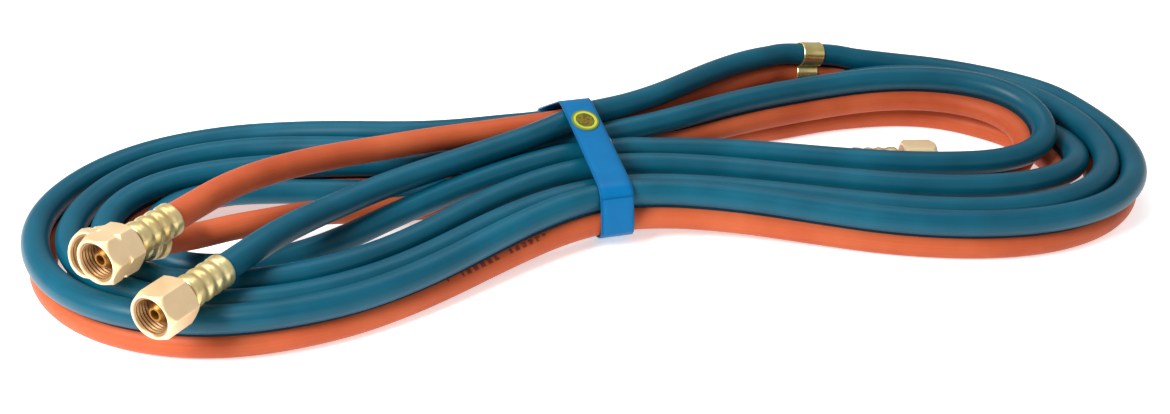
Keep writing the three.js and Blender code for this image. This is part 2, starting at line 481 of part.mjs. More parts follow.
// --------------------------------------------------------------------- strap
// The strap's upright plane. Its outlines are lists of [distance along STRAP_ALONG, z].
const STRAP_ORIGIN = vector([11, -1, 0]);
const STRAP_ACROSS = vector([0.990982, 0.133998, 0]);
const STRAP_ALONG = UP.clone().cross(STRAP_ACROSS);
const STRAP_INNER = [
  [58.97,41.24], [-8.85,31.46], [-11.28,30.54], [-13.17,28.77], [-14.24,26.42],
  [-15.74,12.74], [-15.32,10.2], [-13.94,8.02], [-11.83,6.53], [3.44,1.2], [54.17,1.2],
  [98.43,1.2], [111.99,3.5], [114.33,4.65], [116.02,6.61], [116.77,9.08],
  [116.49,11.69], [115.21,14.02], [113.15,15.73], [65.54,40.67], [64.17,41.02],
];
const STRAP_OUTER = [
  [58.92,42.24], [-9.11,32.43], [-11.82,31.4], [-14,29.36], [-15.21,26.68],
  [-16.75,12.71], [-16.27,9.84], [-14.68,7.32], [-12.28,5.62], [3.28,0.2], [54.17,0.2],
  [98.52,0.2], [112.3,2.54], [114.96,3.85], [116.91,6.12], [117.79,8.99],
  [117.46,11.99], [116,14.67], [113.7,16.56], [65.9,41.61], [64.32,42.01],
];
const TAB_INNER = [[-15.17,27.5], [-15.51,26.76], [-17.05,12.7], [-16.69,10.5]];
const TAB_OUTER = [[-15.99,27.87], [-16.4,26.88], [-17.95,12.76], [-17.57,10.35]];
const LABEL = {
  centre: [43.068, 39.956], // [distance along STRAP_ALONG, z]
  slope: [0.98977, 0.1427], // direction of its long axis, in the same plane
  halfWidth: 6.6,
  halfLength: 9,
  bottom: 0.3, // both faces measured from the centre, square to the strap
  top: 0.7,
  sides: 24,
};

const strapPoint = (across, along, z) => STRAP_ORIGIN.clone()
  .addScaledVector(STRAP_ACROSS, across)
  .addScaledVector(STRAP_ALONG, along)
  .addScaledVector(UP, z);

function band(innerLine, outerLine, width, looped) {
  const half = width / 2;
  const rings = innerLine.map((inner, k) => [
    strapPoint(-half, ...inner), strapPoint(half, ...inner),
    strapPoint(half, ...outerLine[k]), strapPoint(-half, ...outerLine[k]),
  ]);
  return ringBody(rings, looped);
}

// An oval plate on the strap's sloping top.
function strapLabel() {
  const centre = strapPoint(0, ...LABEL.centre);
  const across = STRAP_ACROSS.clone().normalize();
  const along = STRAP_ALONG.clone()
    .multiplyScalar(LABEL.slope[0])
    .addScaledVector(UP, LABEL.slope[1])
    .normalize();
  const outward = cross(across, along);
  const oval = (height) => Array.from({ length: LABEL.sides }, (_, k) => {
    const angle = (2 * Math.PI * k) / LABEL.sides;
    return centre.clone()
      .addScaledVector(across, LABEL.halfWidth * Math.cos(angle))
      .addScaledVector(along, LABEL.halfLength * Math.sin(angle))
      .addScaledVector(outward, height);
  });
  return ringBody([oval(LABEL.bottom), oval(LABEL.top)], false);
}

// ------------------------------------------------------------------ assembly
const HOSES = [
  {
    gas: 'oxygen',
    rubber: blueRubber,
    groovedNuts: false,
    coil: OXYGEN_COIL,
    held: OXYGEN_HELD,
    middle: OXYGEN_MIDDLE,
    end: OXYGEN_END,
    inner: OXYGEN_INNER,
    fittings: {
      outer: placed([-156.916, -68.085, 33.8], [-0.53095, -0.84593, 0.05]),
      inner: placed([142.655, 40.467, 9.8], [0.99502, -0.0997, 0]),
    },
  },
  {
    gas: 'fuel',
    rubber: orangeRubber,
    groovedNuts: true,
    coil: FUEL_COIL,
    held: FUEL_HELD,
    middle: FUEL_MIDDLE,
    end: FUEL_END,
    inner: FUEL_INNER,
    fittings: {
      outer: placed([-177.072, -52.079, 50], [-0.53663, -0.84234, 0.05]),
      inner: placed([-188.04, -31.818, 28], [-0.51966, -0.77949, 0.34977]),
    },
  },
];

const group = new THREE.Group();
group.name = 'twin_welding_hose_set';

function add(name, geometry, meshMaterial) {
  geometry.translate(...BASE_SHIFT);
  const mesh = new THREE.Mesh(geometry, meshMaterial);
  mesh.name = name;
  group.add(mesh);
}

function addCoil({ gas, rubber, held, coil, inner }) {
  const geometry = hose(trimmed(coil, CUT_GAP / 2, CUT_GAP / 2), {
    startDirection: cutDirection(held, coil),
    endDirection: cutDirection(coil, inner),
  });
  add(`${gas}_hose_coil`, geometry, rubber());
}

// The outer tail is a held length under the strap, a middle length and an end length.
function addTails({ gas, rubber, coil, held, middle, end, inner, fittings }) {
  const heldHose = hose(trimmed(held, FLEX_GAP / 2, CUT_GAP / 2), {
    endDirection: cutDirection(held, coil),
  });
  const middleHose = hose(trimmed(middle, FLEX_GAP / 2, FLEX_GAP / 2));
  const endHose = fittedHose(end, fittings.outer, FLEX_GAP / 2);
  // the inner table runs away from the coil, so it is turned round
  const towardsCoil = cutDirection(coil, inner).negate();
  const innerHose = fittedHose([...inner].reverse(), fittings.inner, CUT_GAP / 2, towardsCoil);
  add(`${gas}_outer_tail_held`, heldHose, rubber());
  add(`${gas}_outer_tail_mid`, middleHose, rubber());
  add(`${gas}_outer_tail_end`, endHose, rubber());
  add(`${gas}_inner_tail`, innerHose, rubber());
}

function addFittings({ gas, groovedNuts, fittings }) {
  for (const [place, fitting] of Object.entries(fittings)) {
    add(`${gas}_${place}_ferrule`, ferrule(fitting), paleBrass());
    add(`${gas}_${place}_stem`, stem(fitting), brass());
    add(`${gas}_${place}_nut`, nut(fitting, groovedNuts), brass());
  }
}

HOSES.forEach(addCoil);
for (const hoseParts of HOSES) {
  addTails(hoseParts);
  addFittings(hoseParts);
}
add('outer_split_clip', splitClip(OUTER_CLIP), paleBrass());
add('inner_split_clip', splitClip(INNER_CLIP), paleBrass());

// the tab is the strap's loose end, on its -Y face
add('strap_band', band(STRAP_INNER, STRAP_OUTER, STRAP_WIDTH, true), blueStrap());
add('strap_tab', band(TAB_INNER, TAB_OUTER, TAB_WIDTH, false), blueStrap());
add('strap_label', strapLabel(), labelGreen());

export default group;
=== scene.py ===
# A twin gas hose, blue for oxygen and orange for fuel, coiled flat on the floor.
# The coil lies in the XY plane with +Z up, is longest along X, and is gathered near X = 0
# by a blue strap that carries an oval label. The two hoses are bonded side by side through
# the coil and split at a brass clip near each end. Each of the four free ends has a
# crimped sleeve, a stem and a swivel nut.
# Geometry is in millimetres, turned to metres when a mesh is made. Shaders, lights and the
# camera are in metres.
import math

import bmesh
import bpy
import numpy as np
from mathutils import Matrix, Vector


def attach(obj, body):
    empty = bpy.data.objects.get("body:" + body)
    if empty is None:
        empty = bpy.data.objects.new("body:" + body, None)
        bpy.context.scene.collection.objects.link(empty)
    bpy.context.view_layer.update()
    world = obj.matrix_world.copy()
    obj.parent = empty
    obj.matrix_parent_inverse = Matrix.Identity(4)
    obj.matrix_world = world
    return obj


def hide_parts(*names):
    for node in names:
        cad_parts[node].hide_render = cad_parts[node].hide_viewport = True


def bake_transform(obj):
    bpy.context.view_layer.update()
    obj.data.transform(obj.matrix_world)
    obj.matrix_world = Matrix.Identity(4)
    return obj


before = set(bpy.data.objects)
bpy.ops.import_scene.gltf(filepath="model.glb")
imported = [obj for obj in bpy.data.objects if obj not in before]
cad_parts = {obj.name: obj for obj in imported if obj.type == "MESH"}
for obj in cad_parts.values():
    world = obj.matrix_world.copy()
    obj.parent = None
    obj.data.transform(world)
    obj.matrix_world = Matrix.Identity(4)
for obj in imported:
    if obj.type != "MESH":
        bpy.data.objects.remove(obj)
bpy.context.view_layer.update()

MM = 0.001

# ------------------------------------------------------------- hose centrelines
# x,y,z of each point in hundredths of a millimetre, from the outer free end through the
# coil to the inner free end, one point about every 4 mm.
OXYGEN_LINE = np.array([
-17230,-9085,3360, -17017,-8747,3340, -16805,-8409,3320, -16593,-8070,3300,
-16380,-7732,3280, -16168,-7394,3260, -15955,-7055,3240, -15736,-6708,3215,
-15515,-6361,3182, -15291,-6015,3143, -15062,-5672,3099, -14828,-5333,3052,
-14589,-4998,3003, -14343,-4669,2955, -14089,-4347,2909, -13826,-4032,2867,
-13554,-3726,2830, -13272,-3430,2800, -12978,-3145,2778, -12672,-2872,2767,
-12370,-2608,2761, -12063,-2351,2757, -11751,-2102,2754, -11434,-1859,2752,
-11112,-1622,2751, -10786,-1393,2752, -10456,-1169,2754, -10122,-953,2757,
-9784,-742,2761, -9443,-537,2766, -9099,-337,2772, -8753,-143,2780,
-8405,47,2790, -8054,232,2801, -7702,413,2815, -7348,590,2830,
-6992,763,2848, -6635,932,2868, -6277,1099,2890, -5917,1262,2915,
-5557,1423,2941, -5197,1582,2970, -4837,1741,3001, -4476,1899,3034,
-4117,2059,3070, -3759,2220,3110, -3402,2383,3153, -3047,2550,3201,
-2695,2721,3254, -2347,2897,3310, -2002,3079,3364, -1660,3268,3411,
-1321,3464,3443, -984,3665,3454, -647,3868,3445, -310,4070,3420,
26,4273,3384, 362,4476,3343, 696,4682,3301, 1028,4891,3263,
1357,5104,3228, 1683,5322,3197, 2007,5543,3169, 2328,5768,3145,
2646,5995,3123, 2962,6224,3105, 3276,6456,3090, 3589,6689,3078,
3900,6923,3070, 4209,7157,3066, 4518,7391,3064, 4826,7625,3065,
5134,7858,3068, 5442,8089,3071, 5750,8319,3076, 6060,8545,3081,
6371,8768,3085, 6683,8988,3088, 6997,9203,3091, 7314,9414,3093,
7632,9621,3094, 7952,9823,3093, 8273,10021,3090, 8597,10214,3083,
8923,10401,3073, 9251,10583,3059, 9581,10759,3040, 9914,10929,3019,
10249,11091,2993, 10587,11251,2966, 10924,11428,2944, 11266,11589,2917,
11615,11717,2880, 11971,11814,2833, 12333,11892,2779, 12696,11967,2723,
13177,12066,2649, 13429,12118,2610, 13798,12194,2553, 14167,12269,2495,
14539,12330,2431, 14917,12358,2356, 15301,12342,2275, 15692,12293,2194,
16082,12250,2126, 16469,12220,2069, 16858,12177,2017, 17247,12123,1970,
17636,12057,1928, 18025,11980,1892, 18413,11892,1862, 18801,11792,1837,
19187,11681,1817, 19571,11558,1800, 19953,11423,1785, 20331,11276,1770,
20706,11117,1755, 21077,10946,1739, 21443,10762,1724, 21802,10564,1711,
22154,10351,1700, 22498,10122,1693, 22832,9878,1689, 23155,9618,1690,
23468,9343,1693, 23768,9052,1699, 24057,8748,1707, 24334,8431,1717,
24597,8102,1729, 24845,7760,1742, 25074,7406,1755, 25282,7038,1768,
25466,6657,1781, 25622,6264,1792, 25752,5861,1803, 25859,5450,1811,
25950,5034,1818, 26032,4617,1823, 26110,4199,1827, 26184,3781,1830,
26252,3363,1832, 26313,2946,1834, 26363,2528,1836, 26400,2111,1837,
26423,1694,1837, 26431,1278,1837, 26422,865,1836, 26395,453,1834,
26350,46,1832, 26286,-358,1829, 26203,-757,1826, 26102,-1149,1823,
25981,-1535,1819, 25842,-1913,1816, 25683,-2282,1813, 25506,-2642,1810,
25309,-2990,1807, 25094,-3326,1805, 24860,-3649,1803, 24608,-3958,1801,
24339,-4252,1800, 24054,-4530,1799, 23754,-4792,1799, 23440,-5037,1800,
23113,-5265,1802, 22774,-5475,1805, 22425,-5668,1808, 22067,-5843,1811,
21700,-6001,1814, 21326,-6143,1816, 20946,-6267,1819, 20560,-6376,1821,
20170,-6469,1823, 19776,-6546,1824, 19379,-6609,1826, 18980,-6657,1828,
18579,-6691,1829, 18177,-6711,1829, 17775,-6719,1830, 17372,-6714,1830,
16969,-6698,1830, 16568,-6670,1830, 16167,-6632,1830, 15767,-6584,1829,
15368,-6526,1829, 14972,-6459,1829, 14577,-6382,1829, 14184,-6298,1828,
13793,-6205,1828, 13404,-6105,1829, 13018,-5999,1830, 12633,-5886,1833,
12251,-5767,1838, 11870,-5644,1845, 11492,-5516,1854, 11115,-5384,1866,
10740,-5249,1879, 10366,-5111,1893, 9993,-4971,1908, 9621,-4830,1923,
9250,-4689,1939, 8879,-4549,1956, 8508,-4409,1975, 8136,-4271,1995,
7763,-4136,2017, 7388,-4003,2039, 7013,-3875,2062, 6636,-3751,2085,
6257,-3633,2107, 5877,-3521,2130, 5495,-3416,2154, 5111,-3319,2177,
4726,-3229,2201, 4339,-3149,2226, 3950,-3078,2251, 3560,-3016,2277,
3169,-2966,2304, 2777,-2926,2332, 2384,-2898,2359, 1990,-2882,2385,
1597,-2878,2410, 1204,-2888,2432, 811,-2911,2451, 420,-2948,2466,
31,-3000,2476, -357,-3065,2482, -741,-3146,2482, -1122,-3241,2477,
-1499,-3351,2467, -1872,-3475,2453, -2241,-3613,2435, -2604,-3764,2413,
-2962,-3927,2390, -3316,-4102,2364, -3664,-4287,2338, -4007,-4483,2312,
-4346,-4686,2285, -4681,-4898,2259, -5012,-5116,2234, -5339,-5339,2209,
-5665,-5567,2186, -5988,-5798,2163, -6309,-6031,2141, -6629,-6266,2119,
-6949,-6502,2098, -7269,-6738,2077, -7589,-6974,2056, -7911,-7207,2036,
-8234,-7438,2018, -8560,-7666,2001, -8888,-7888,1987, -9220,-8106,1974,
-9556,-8316,1962, -9896,-8520,1952, -10240,-8716,1942, -10588,-8905,1932,
-10940,-9085,1922, -11296,-9256,1913, -11656,-9418,1907, -12021,-9570,1903,
-12389,-9712,1903, -12762,-9843,1905, -13140,-9962,1909, -13521,-10070,1912,
-13906,-10165,1914, -14295,-10248,1914, -14686,-10318,1912, -15080,-10375,1908,
-15476,-10420,1902, -15873,-10451,1895, -16272,-10469,1888, -16671,-10473,1882,
-17071,-10462,1875, -17471,-10437,1870, -17870,-10398,1865, -18268,-10343,1861,
-18663,-10272,1858, -19056,-10187,1856, -19446,-10088,1854, -19833,-9973,1853,
-20214,-9845,1852, -20591,-9703,1851, -20963,-9546,1850, -21327,-9375,1848,
-21685,-9190,1845, -22034,-8991,1842, -22375,-8777,1838, -22705,-8549,1834,
-23025,-8307,1831, -23334,-8051,1827, -23631,-7783,1825, -23916,-7501,1824,
-24187,-7208,1825, -24444,-6903,1826, -24687,-6587,1827, -24915,-6261,1827,
-25128,-5925,1828, -25325,-5581,1829, -25507,-5229,1830, -25675,-4870,1831,
-25827,-4505,1832, -25965,-4135,1834, -26087,-3760,1835, -26194,-3381,1836,
-26285,-2999,1837, -26359,-2614,1839, -26415,-2226,1840, -26452,-1837,1842,
-26469,-1448,1844, -26466,-1058,1846, -26442,-670,1849, -26396,-284,1853,
-26329,98,1856, -26240,476,1861, -26132,848,1865, -26003,1215,1869,
-25856,1574,1874, -25691,1925,1879, -25508,2267,1884, -25309,2601,1888,
-25093,2924,1893, -24861,3236,1897, -24614,3537,1901, -24352,3826,1904,
-24076,4102,1907, -23787,4365,1909, -23485,4613,1910, -23171,4847,1911,
-22845,5067,1911, -22510,5273,1910, -22166,5463,1909, -21813,5640,1907,
-21452,5802,1904, -21085,5949,1901, -20712,6082,1898, -20334,6202,1895,
-19951,6307,1894, -19564,6399,1893, -19175,6477,1894, -18784,6543,1894,
-18392,6596,1893, -17998,6637,1892, -17604,6668,1890, -17209,6688,1888,
-16813,6697,1887, -16418,6698,1887, -16022,6690,1888, -15627,6673,1891,
-15233,6649,1895, -14839,6619,1899, -14447,6582,1903, -14055,6541,1906,
-13664,6497,1908, -13273,6449,1909, -12884,6401,1908, -12495,6352,1906,
-12106,6304,1903, -11718,6258,1898, -11331,6216,1892, -10944,6178,1885,
-10557,6146,1877, -10170,6121,1868, -9784,6103,1858, -9398,6093,1847,
-9013,6094,1834, -8629,6105,1821, -8246,6128,1807, -7865,6163,1791,
-7486,6212,1774, -7109,6274,1755, -6735,6349,1735, -6363,6435,1712,
-5994,6530,1687, -5626,6631,1660, -5258,6734,1631, -4892,6839,1601,
-4527,6949,1567, -4169,7069,1525, -3819,7208,1474, -3479,7369,1414,
-3145,7549,1351, -2813,7740,1286, -2479,7935,1222, -2139,8125,1158,
-1791,8307,1095, -1433,8477,1033, -1066,8634,975, -692,8779,920,
-310,8912,870, 76,9031,826, 466,9137,787, 859,9230,753,
1254,9311,723, 1651,9382,699, 2049,9445,678, 2448,9502,662,
2846,9555,649, 3245,9604,639, 3644,9651,631, 4044,9695,625,
4443,9737,621, 4841,9779,619, 5240,9821,618, 5638,9864,617,
6036,9907,616, 6433,9952,616, 6830,9998,615, 7226,10048,614,
7621,10101,612, 8014,10159,609, 8406,10224,607, 8796,10297,605,
9184,10379,604, 9571,10469,604, 9956,10566,603, 10341,10666,604,
10726,10766,608, 11112,10863,616, 11499,10954,630, 11887,11037,653,
12277,11110,685, 12668,11169,728, 13060,11215,783, 13452,11246,849,
13845,11264,924, 14237,11268,1007, 14628,11260,1094, 15020,11240,1182,
15411,11206,1268, 15801,11160,1348, 16192,11102,1421, 16582,11034,1484,
16973,10958,1539, 17362,10875,1585, 17751,10785,1623, 18139,10688,1656,
18524,10583,1682, 18907,10469,1702, 19286,10344,1718, 19661,10208,1730,
20032,10059,1738, 20396,9897,1744, 20754,9720,1749, 21105,9529,1751,
21447,9323,1753, 21779,9103,1755, 22101,8868,1758, 22412,8619,1763,
22709,8355,1771, 22993,8077,1781, 23262,7785,1794, 23517,7479,1808,
23754,7159,1823, 23974,6826,1838, 24171,6478,1854, 24344,6115,1871,
24488,5740,1890, 24606,5353,1913, 24703,4957,1936, 24787,4557,1958,
24865,4156,1976, 24939,3755,1988, 25008,3355,1997, 25069,2956,2001,
25119,2557,2002, 25157,2160,1997, 25181,1765,1988, 25189,1371,1974,
25180,979,1959, 25153,591,1945, 25108,206,1931, 25043,-174,1920,
24959,-549,1910, 24853,-916,1900, 24727,-1276,1892, 24579,-1625,1884,
24409,-1964,1876, 24218,-2290,1869, 24006,-2603,1862, 23775,-2902,1855,
23525,-3186,1849, 23258,-3453,1843, 22975,-3705,1838, 22678,-3940,1833,
22366,-4158,1829, 22042,-4358,1826, 21706,-4541,1823, 21360,-4706,1820,
21005,-4855,1818, 20642,-4986,1817, 20272,-5101,1816, 19897,-5199,1815,
19515,-5281,1814, 19130,-5347,1813, 18741,-5397,1813, 18349,-5432,1813,
17956,-5451,1813, 17561,-5456,1814, 17167,-5447,1816, 16772,-5424,1817,
16378,-5390,1818, 15985,-5344,1819, 15592,-5288,1819, 15201,-5221,1820,
14811,-5146,1821, 14422,-5062,1821, 14035,-4970,1822, 13649,-4871,1822,
13265,-4764,1823, 12883,-4652,1823, 12502,-4534,1824, 12123,-4410,1824,
11745,-4283,1823, 11369,-4151,1823, 10994,-4017,1822, 10621,-3880,1822,
10249,-3742,1822, 9877,-3603,1823, 9506,-3464,1824, 9134,-3325,1826,
8763,-3187,1827, 8390,-3051,1829, 8017,-2918,1831, 7643,-2787,1834,
7268,-2660,1838, 6892,-2538,1842, 6515,-2419,1848, 6136,-2306,1855,
5757,-2199,1863, 5375,-2098,1872, 4993,-2004,1882, 4610,-1917,1893,
4225,-1839,1905, 3839,-1769,1918, 3452,-1708,1932, 3064,-1657,1947,
2675,-1616,1962, 2287,-1586,1978, 1898,-1567,1993, 1509,-1560,2006,
1121,-1565,2019, 734,-1582,2029, 348,-1612,2036, -36,-1654,2040,
-417,-1708,2041, -797,-1774,2040, -1173,-1853,2037, -1546,-1943,2032,
-1916,-2046,2026, -2281,-2161,2018, -2642,-2288,2009, -2998,-2428,1999,
-3349,-2579,1988, -3694,-2743,1977, -4034,-2917,1966, -4368,-3101,1955,
-4697,-3295,1945, -5022,-3498,1936, -5341,-3708,1927, -5656,-3925,1919,
-5967,-4148,1911, -6276,-4376,1903, -6581,-4608,1895, -6885,-4843,1886,
-7188,-5080,1878, -7490,-5318,1868, -7794,-5555,1858, -8099,-5791,1848,
-8406,-6025,1837, -8717,-6255,1827, -9031,-6481,1818, -9348,-6703,1810,
-9670,-6920,1804, -9996,-7131,1798, -10327,-7335,1793, -10663,-7531,1789,
-11004,-7720,1787, -11349,-7900,1787, -11700,-8071,1788, -12056,-8233,1790,
-12417,-8384,1792, -12783,-8524,1795, -13153,-8654,1797, -13526,-8771,1799,
-13904,-8876,1801, -14284,-8967,1803, -14667,-9045,1805, -15052,-9109,1806,
-15438,-9158,1808, -15826,-9193,1809, -16214,-9213,1810, -16602,-9219,1810,
-16989,-9210,1811, -17374,-9186,1811, -17758,-9148,1811, -18139,-9093,1811,
-18516,-9023,1811, -18889,-8935,1812, -19257,-8830,1813, -19618,-8708,1815,
-19973,-8567,1817, -20320,-8410,1819, -20660,-8237,1821, -20991,-8048,1823,
-21315,-7846,1824, -21629,-7630,1825, -21935,-7401,1825, -22230,-7160,1824,
-22516,-6906,1824, -22790,-6641,1823, -23052,-6364,1822, -23302,-6076,1821,
-23539,-5777,1820, -23761,-5467,1818, -23968,-5148,1816, -24157,-4819,1813,
-24328,-4480,1811, -24479,-4133,1810, -24608,-3777,1811, -24715,-3414,1815,
-24797,-3046,1820, -24856,-2674,1828, -24890,-2299,1837, -24898,-1923,1848,
-24882,-1547,1860, -24843,-1173,1872, -24780,-802,1884, -24697,-436,1897,
-24593,-74,1910, -24470,282,1923, -24328,631,1935, -24167,972,1947,
-23988,1303,1959, -23789,1625,1970, -23573,1934,1979, -23337,2231,1988,
-23085,2514,1996, -22815,2782,2002, -22530,3035,2007, -22229,3271,2009,
-21916,3492,2010, -21589,3695,2009, -21252,3882,2006, -20904,4053,2001,
-20548,4207,1994, -20184,4345,1985, -19812,4468,1975, -19436,4575,1965,
-19054,4668,1955, -18668,4747,1947, -18280,4812,1939, -17890,4864,1931,
-17497,4904,1923, -17104,4932,1912, -16711,4949,1901, -16318,4956,1889,
-15925,4953,1877, -15532,4941,1865, -15140,4921,1855, -14747,4893,1845,
-14355,4858,1838, -13964,4816,1832, -13572,4768,1828, -13182,4715,1826,
-12791,4657,1826, -12401,4595,1825, -12012,4531,1824, -11623,4466,1822,
-11234,4402,1820, -10844,4340,1817, -10455,4281,1814, -10065,4225,1810,
-9675,4174,1807, -9285,4125,1804, -8894,4077,1801, -8504,4030,1796,
-8115,3989,1789, -7726,3963,1783, -7338,3961,1778, -6951,3992,1778,
-6568,4057,1784, -6188,4152,1798, -5814,4274,1819, -5445,4421,1843,
-5081,4588,1866, -4721,4771,1882, -4364,4966,1887, -4008,5165,1880,
-3649,5360,1860, -3285,5543,1833, -2911,5706,1800, -2529,5850,1759,
-2142,5977,1709, -1754,6091,1644, -1368,6197,1564, -987,6296,1468,
-611,6389,1361, -237,6479,1248, 136,6565,1135, 511,6647,1031,
890,6726,939, 1273,6800,862, 1661,6870,802, 2051,6934,755,
2444,6993,718, 2838,7049,689, 3233,7101,666, 3628,7150,648,
4024,7197,634, 4421,7241,623, 4817,7285,614, 5214,7328,608,
5611,7370,603, 6008,7414,600, 6404,7458,598, 6801,7504,597,
7198,7551,597, 7594,7601,596, 7990,7654,596, 8385,7712,597,
8779,7776,597, 9172,7847,597, 9563,7924,598, 9952,8009,598,
10339,8101,599, 10725,8199,599, 11109,8299,599, 11493,8399,599,
11878,8496,599, 12264,8584,599, 12651,8662,599, 13040,8729,599,
13431,8784,599, 13822,8829,599, 14214,8865,599, 14607,8896,599,
14999,8921,599, 15393,8940,599, 15786,8950,598, 16179,8950,598,
16573,8937,597, 16965,8911,596, 17357,8869,595, 17745,8810,594,
18130,8735,593, 18511,8641,592, 18885,8529,592, 19251,8398,593,
19608,8249,595, 19955,8080,599, 20291,7893,606, 20616,7688,615,
20930,7466,628, 21233,7229,644, 21525,6979,666, 21807,6717,693,
22079,6446,725, 22341,6168,764, 22591,5884,808, 22825,5592,856,
23037,5291,908, 23224,4978,960, 23387,4656,1010, 23530,4324,1059,
23656,3988,1107, 23768,3647,1154, 23866,3303,1200, 23947,2956,1244,
24011,2606,1288, 24055,2255,1329, 24078,1902,1369, 24079,1549,1407,
24060,1198,1444, 24019,848,1481, 23957,503,1518, 23871,163,1553,
23760,-170,1587, 23623,-492,1618, 23458,-803,1646, 23265,-1098,1671,
23047,-1377,1694, 22803,-1638,1715, 22537,-1879,1734, 22250,-2099,1751,
21945,-2299,1766, 21624,-2478,1779, 21289,-2637,1789, 20942,-2775,1797,
20584,-2894,1804, 20218,-2994,1808, 19844,-3076,1813, 19465,-3140,1817,
19080,-3187,1821, 18692,-3218,1825, 18301,-3233,1829, 17908,-3235,1831,
17513,-3222,1832, 17117,-3197,1832, 16721,-3160,1831, 16326,-3112,1830,
15931,-3053,1829, 15536,-2985,1828, 15143,-2908,1829, 14752,-2822,1830,
14362,-2729,1831, 13974,-2629,1832, 13588,-2523,1832, 13203,-2412,1832,
12820,-2296,1832, 12437,-2176,1831, 12056,-2053,1831, 11675,-1927,1831,
11296,-1799,1830, 10917,-1670,1830, 10538,-1539,1829, 10160,-1408,1828,
9783,-1278,1826, 9405,-1149,1825, 9027,-1021,1825, 8649,-895,1827,
8271,-772,1831, 7891,-651,1837, 7510,-534,1846, 7128,-420,1857,
6744,-311,1870, 6358,-208,1884, 5971,-109,1900, 5583,-17,1916,
5193,68,1932, 4803,145,1950, 4411,215,1969, 4018,276,1988,
3623,328,2009, 3228,370,2031, 2833,403,2054, 2437,426,2076,
2041,438,2099, 1645,440,2121, 1250,430,2142, 855,410,2161,
462,378,2177, 70,334,2189, -320,279,2198, -707,212,2202,
-1092,134,2202, -1474,44,2198, -1853,-58,2190, -2228,-172,2178,
-2599,-296,2164, -2965,-432,2147, -3327,-579,2129, -3684,-736,2110,
-4037,-903,2090, -4384,-1080,2070, -4725,-1267,2051, -5062,-1463,2032,
-5393,-1668,2014, -5719,-1880,1997, -6039,-2100,1980, -6355,-2327,1964,
-6667,-2560,1948, -6975,-2797,1932, -7280,-3039,1917, -7583,-3283,1902,
-7884,-3530,1886, -8185,-3777,1871, -8486,-4025,1857, -8788,-4271,1844,
-9092,-4515,1833, -9400,-4756,1824, -9710,-4993,1818, -10025,-5225,1813,
-10345,-5450,1811, -10670,-5669,1809, -11001,-5880,1809, -11338,-6083,1809,
-11681,-6276,1810, -12030,-6459,1811, -12386,-6632,1812, -12747,-6793,1814,
-13113,-6942,1814, -13486,-7078,1814, -13863,-7202,1814, -14245,-7313,1815,
-14630,-7411,1816, -15019,-7494,1818, -15410,-7564,1819, -15802,-7618,1820,
-16196,-7657,1820, -16590,-7680,1820, -16984,-7686,1818, -17376,-7676,1815,
-17766,-7647,1812, -18153,-7601,1807, -18536,-7536,1802, -18913,-7452,1796,
-19283,-7348,1791, -19645,-7224,1785, -19997,-7079,1780, -20338,-6913,1776,
-20667,-6727,1773, -20981,-6522,1771, -21281,-6299,1769, -21565,-6058,1769,
-21833,-5801,1770, -22083,-5530,1772, -22315,-5245,1777, -22528,-4947,1785,
-22720,-4638,1796, -22890,-4318,1809, -23037,-3988,1824, -23158,-3649,1841,
-23255,-3304,1859, -23325,-2954,1879, -23368,-2600,1899, -23383,-2245,1920,
-23370,-1890,1941, -23328,-1539,1963, -23255,-1192,1985, -23152,-853,2006,
-23017,-524,2026, -22852,-208,2044, -22659,94,2060, -22440,381,2072,
-22197,651,2081, -21932,904,2085, -21650,1140,2086, -21350,1358,2082,
-21036,1560,2076, -20709,1745,2067, -20370,1913,2055, -20021,2066,2043,
-19664,2204,2029, -19299,2327,2015, -18928,2436,2000, -18551,2532,1985,
-18170,2616,1971, -17784,2688,1956, -17396,2750,1942, -17004,2800,1928,
-16611,2841,1915, -16215,2873,1902, -15819,2896,1890, -15421,2911,1879,
-15022,2920,1869, -14622,2922,1859, -14222,2919,1850, -13821,2911,1841,
-13421,2898,1833, -13020,2882,1826, -12619,2862,1819, -12218,2840,1811,
-11817,2816,1804, -11416,2791,1796, -11015,2766,1787, -10614,2742,1778,
-10213,2719,1768, -9811,2698,1759, -9410,2680,1752, -9009,2663,1746,
-8607,2648,1744, -8206,2632,1745, -7804,2617,1749, -7404,2604,1755,
-7004,2599,1764, -6605,2606,1774, -6208,2630,1787, -5813,2670,1804,
-5420,2723,1827, -5030,2788,1856, -4642,2860,1893, -4255,2940,1935,
-3870,3024,1981, -3486,3112,2027, -3104,3200,2069, -2722,3281,2109,
-2340,3350,2146, -1957,3398,2181, -1574,3427,2214, -1189,3443,2247,
-805,3461,2280, -423,3491,2314, -43,3541,2347, 334,3608,2377,
710,3690,2402, 1084,3782,2422, 1457,3878,2438, 1829,3979,2454,
2201,4081,2470, 2573,4187,2488, 2944,4295,2506, 3314,4408,2526,
3684,4523,2547, 4055,4641,2571, 4426,4759,2596, 4798,4877,2625,
5172,4994,2655, 5547,5109,2687, 5924,5223,2718, 6303,5334,2748,
6684,5444,2777, 7066,5551,2805, 7450,5656,2830, 7835,5760,2854,
8222,5860,2876, 8609,5958,2894, 8998,6053,2909, 9388,6145,2922,
9778,6233,2935, 10169,6317,2947, 10560,6396,2960, 10952,6471,2974,
11343,6540,2989, 11735,6604,3005, 12126,6661,3023, 12517,6711,3044,
12907,6754,3066, 13298,6789,3091, 13689,6815,3116, 14080,6832,3142,
14471,6838,3166, 14862,6835,3189, 15252,6820,3211, 15641,6795,3231,
16029,6759,3249, 16415,6712,3266, 16799,6655,3282, 17181,6586,3295,
17561,6505,3306, 17937,6413,3315, 18310,6309,3321, 18677,6194,3323,
19039,6066,3322, 19395,5926,3318, 19742,5773,3310, 20081,5607,3298,
20410,5428,3281, 20728,5236,3257, 21032,5030,3227, 21320,4811,3188,
21591,4578,3142, 21843,4330,3087, 22072,4070,3025, 22275,3796,2954,
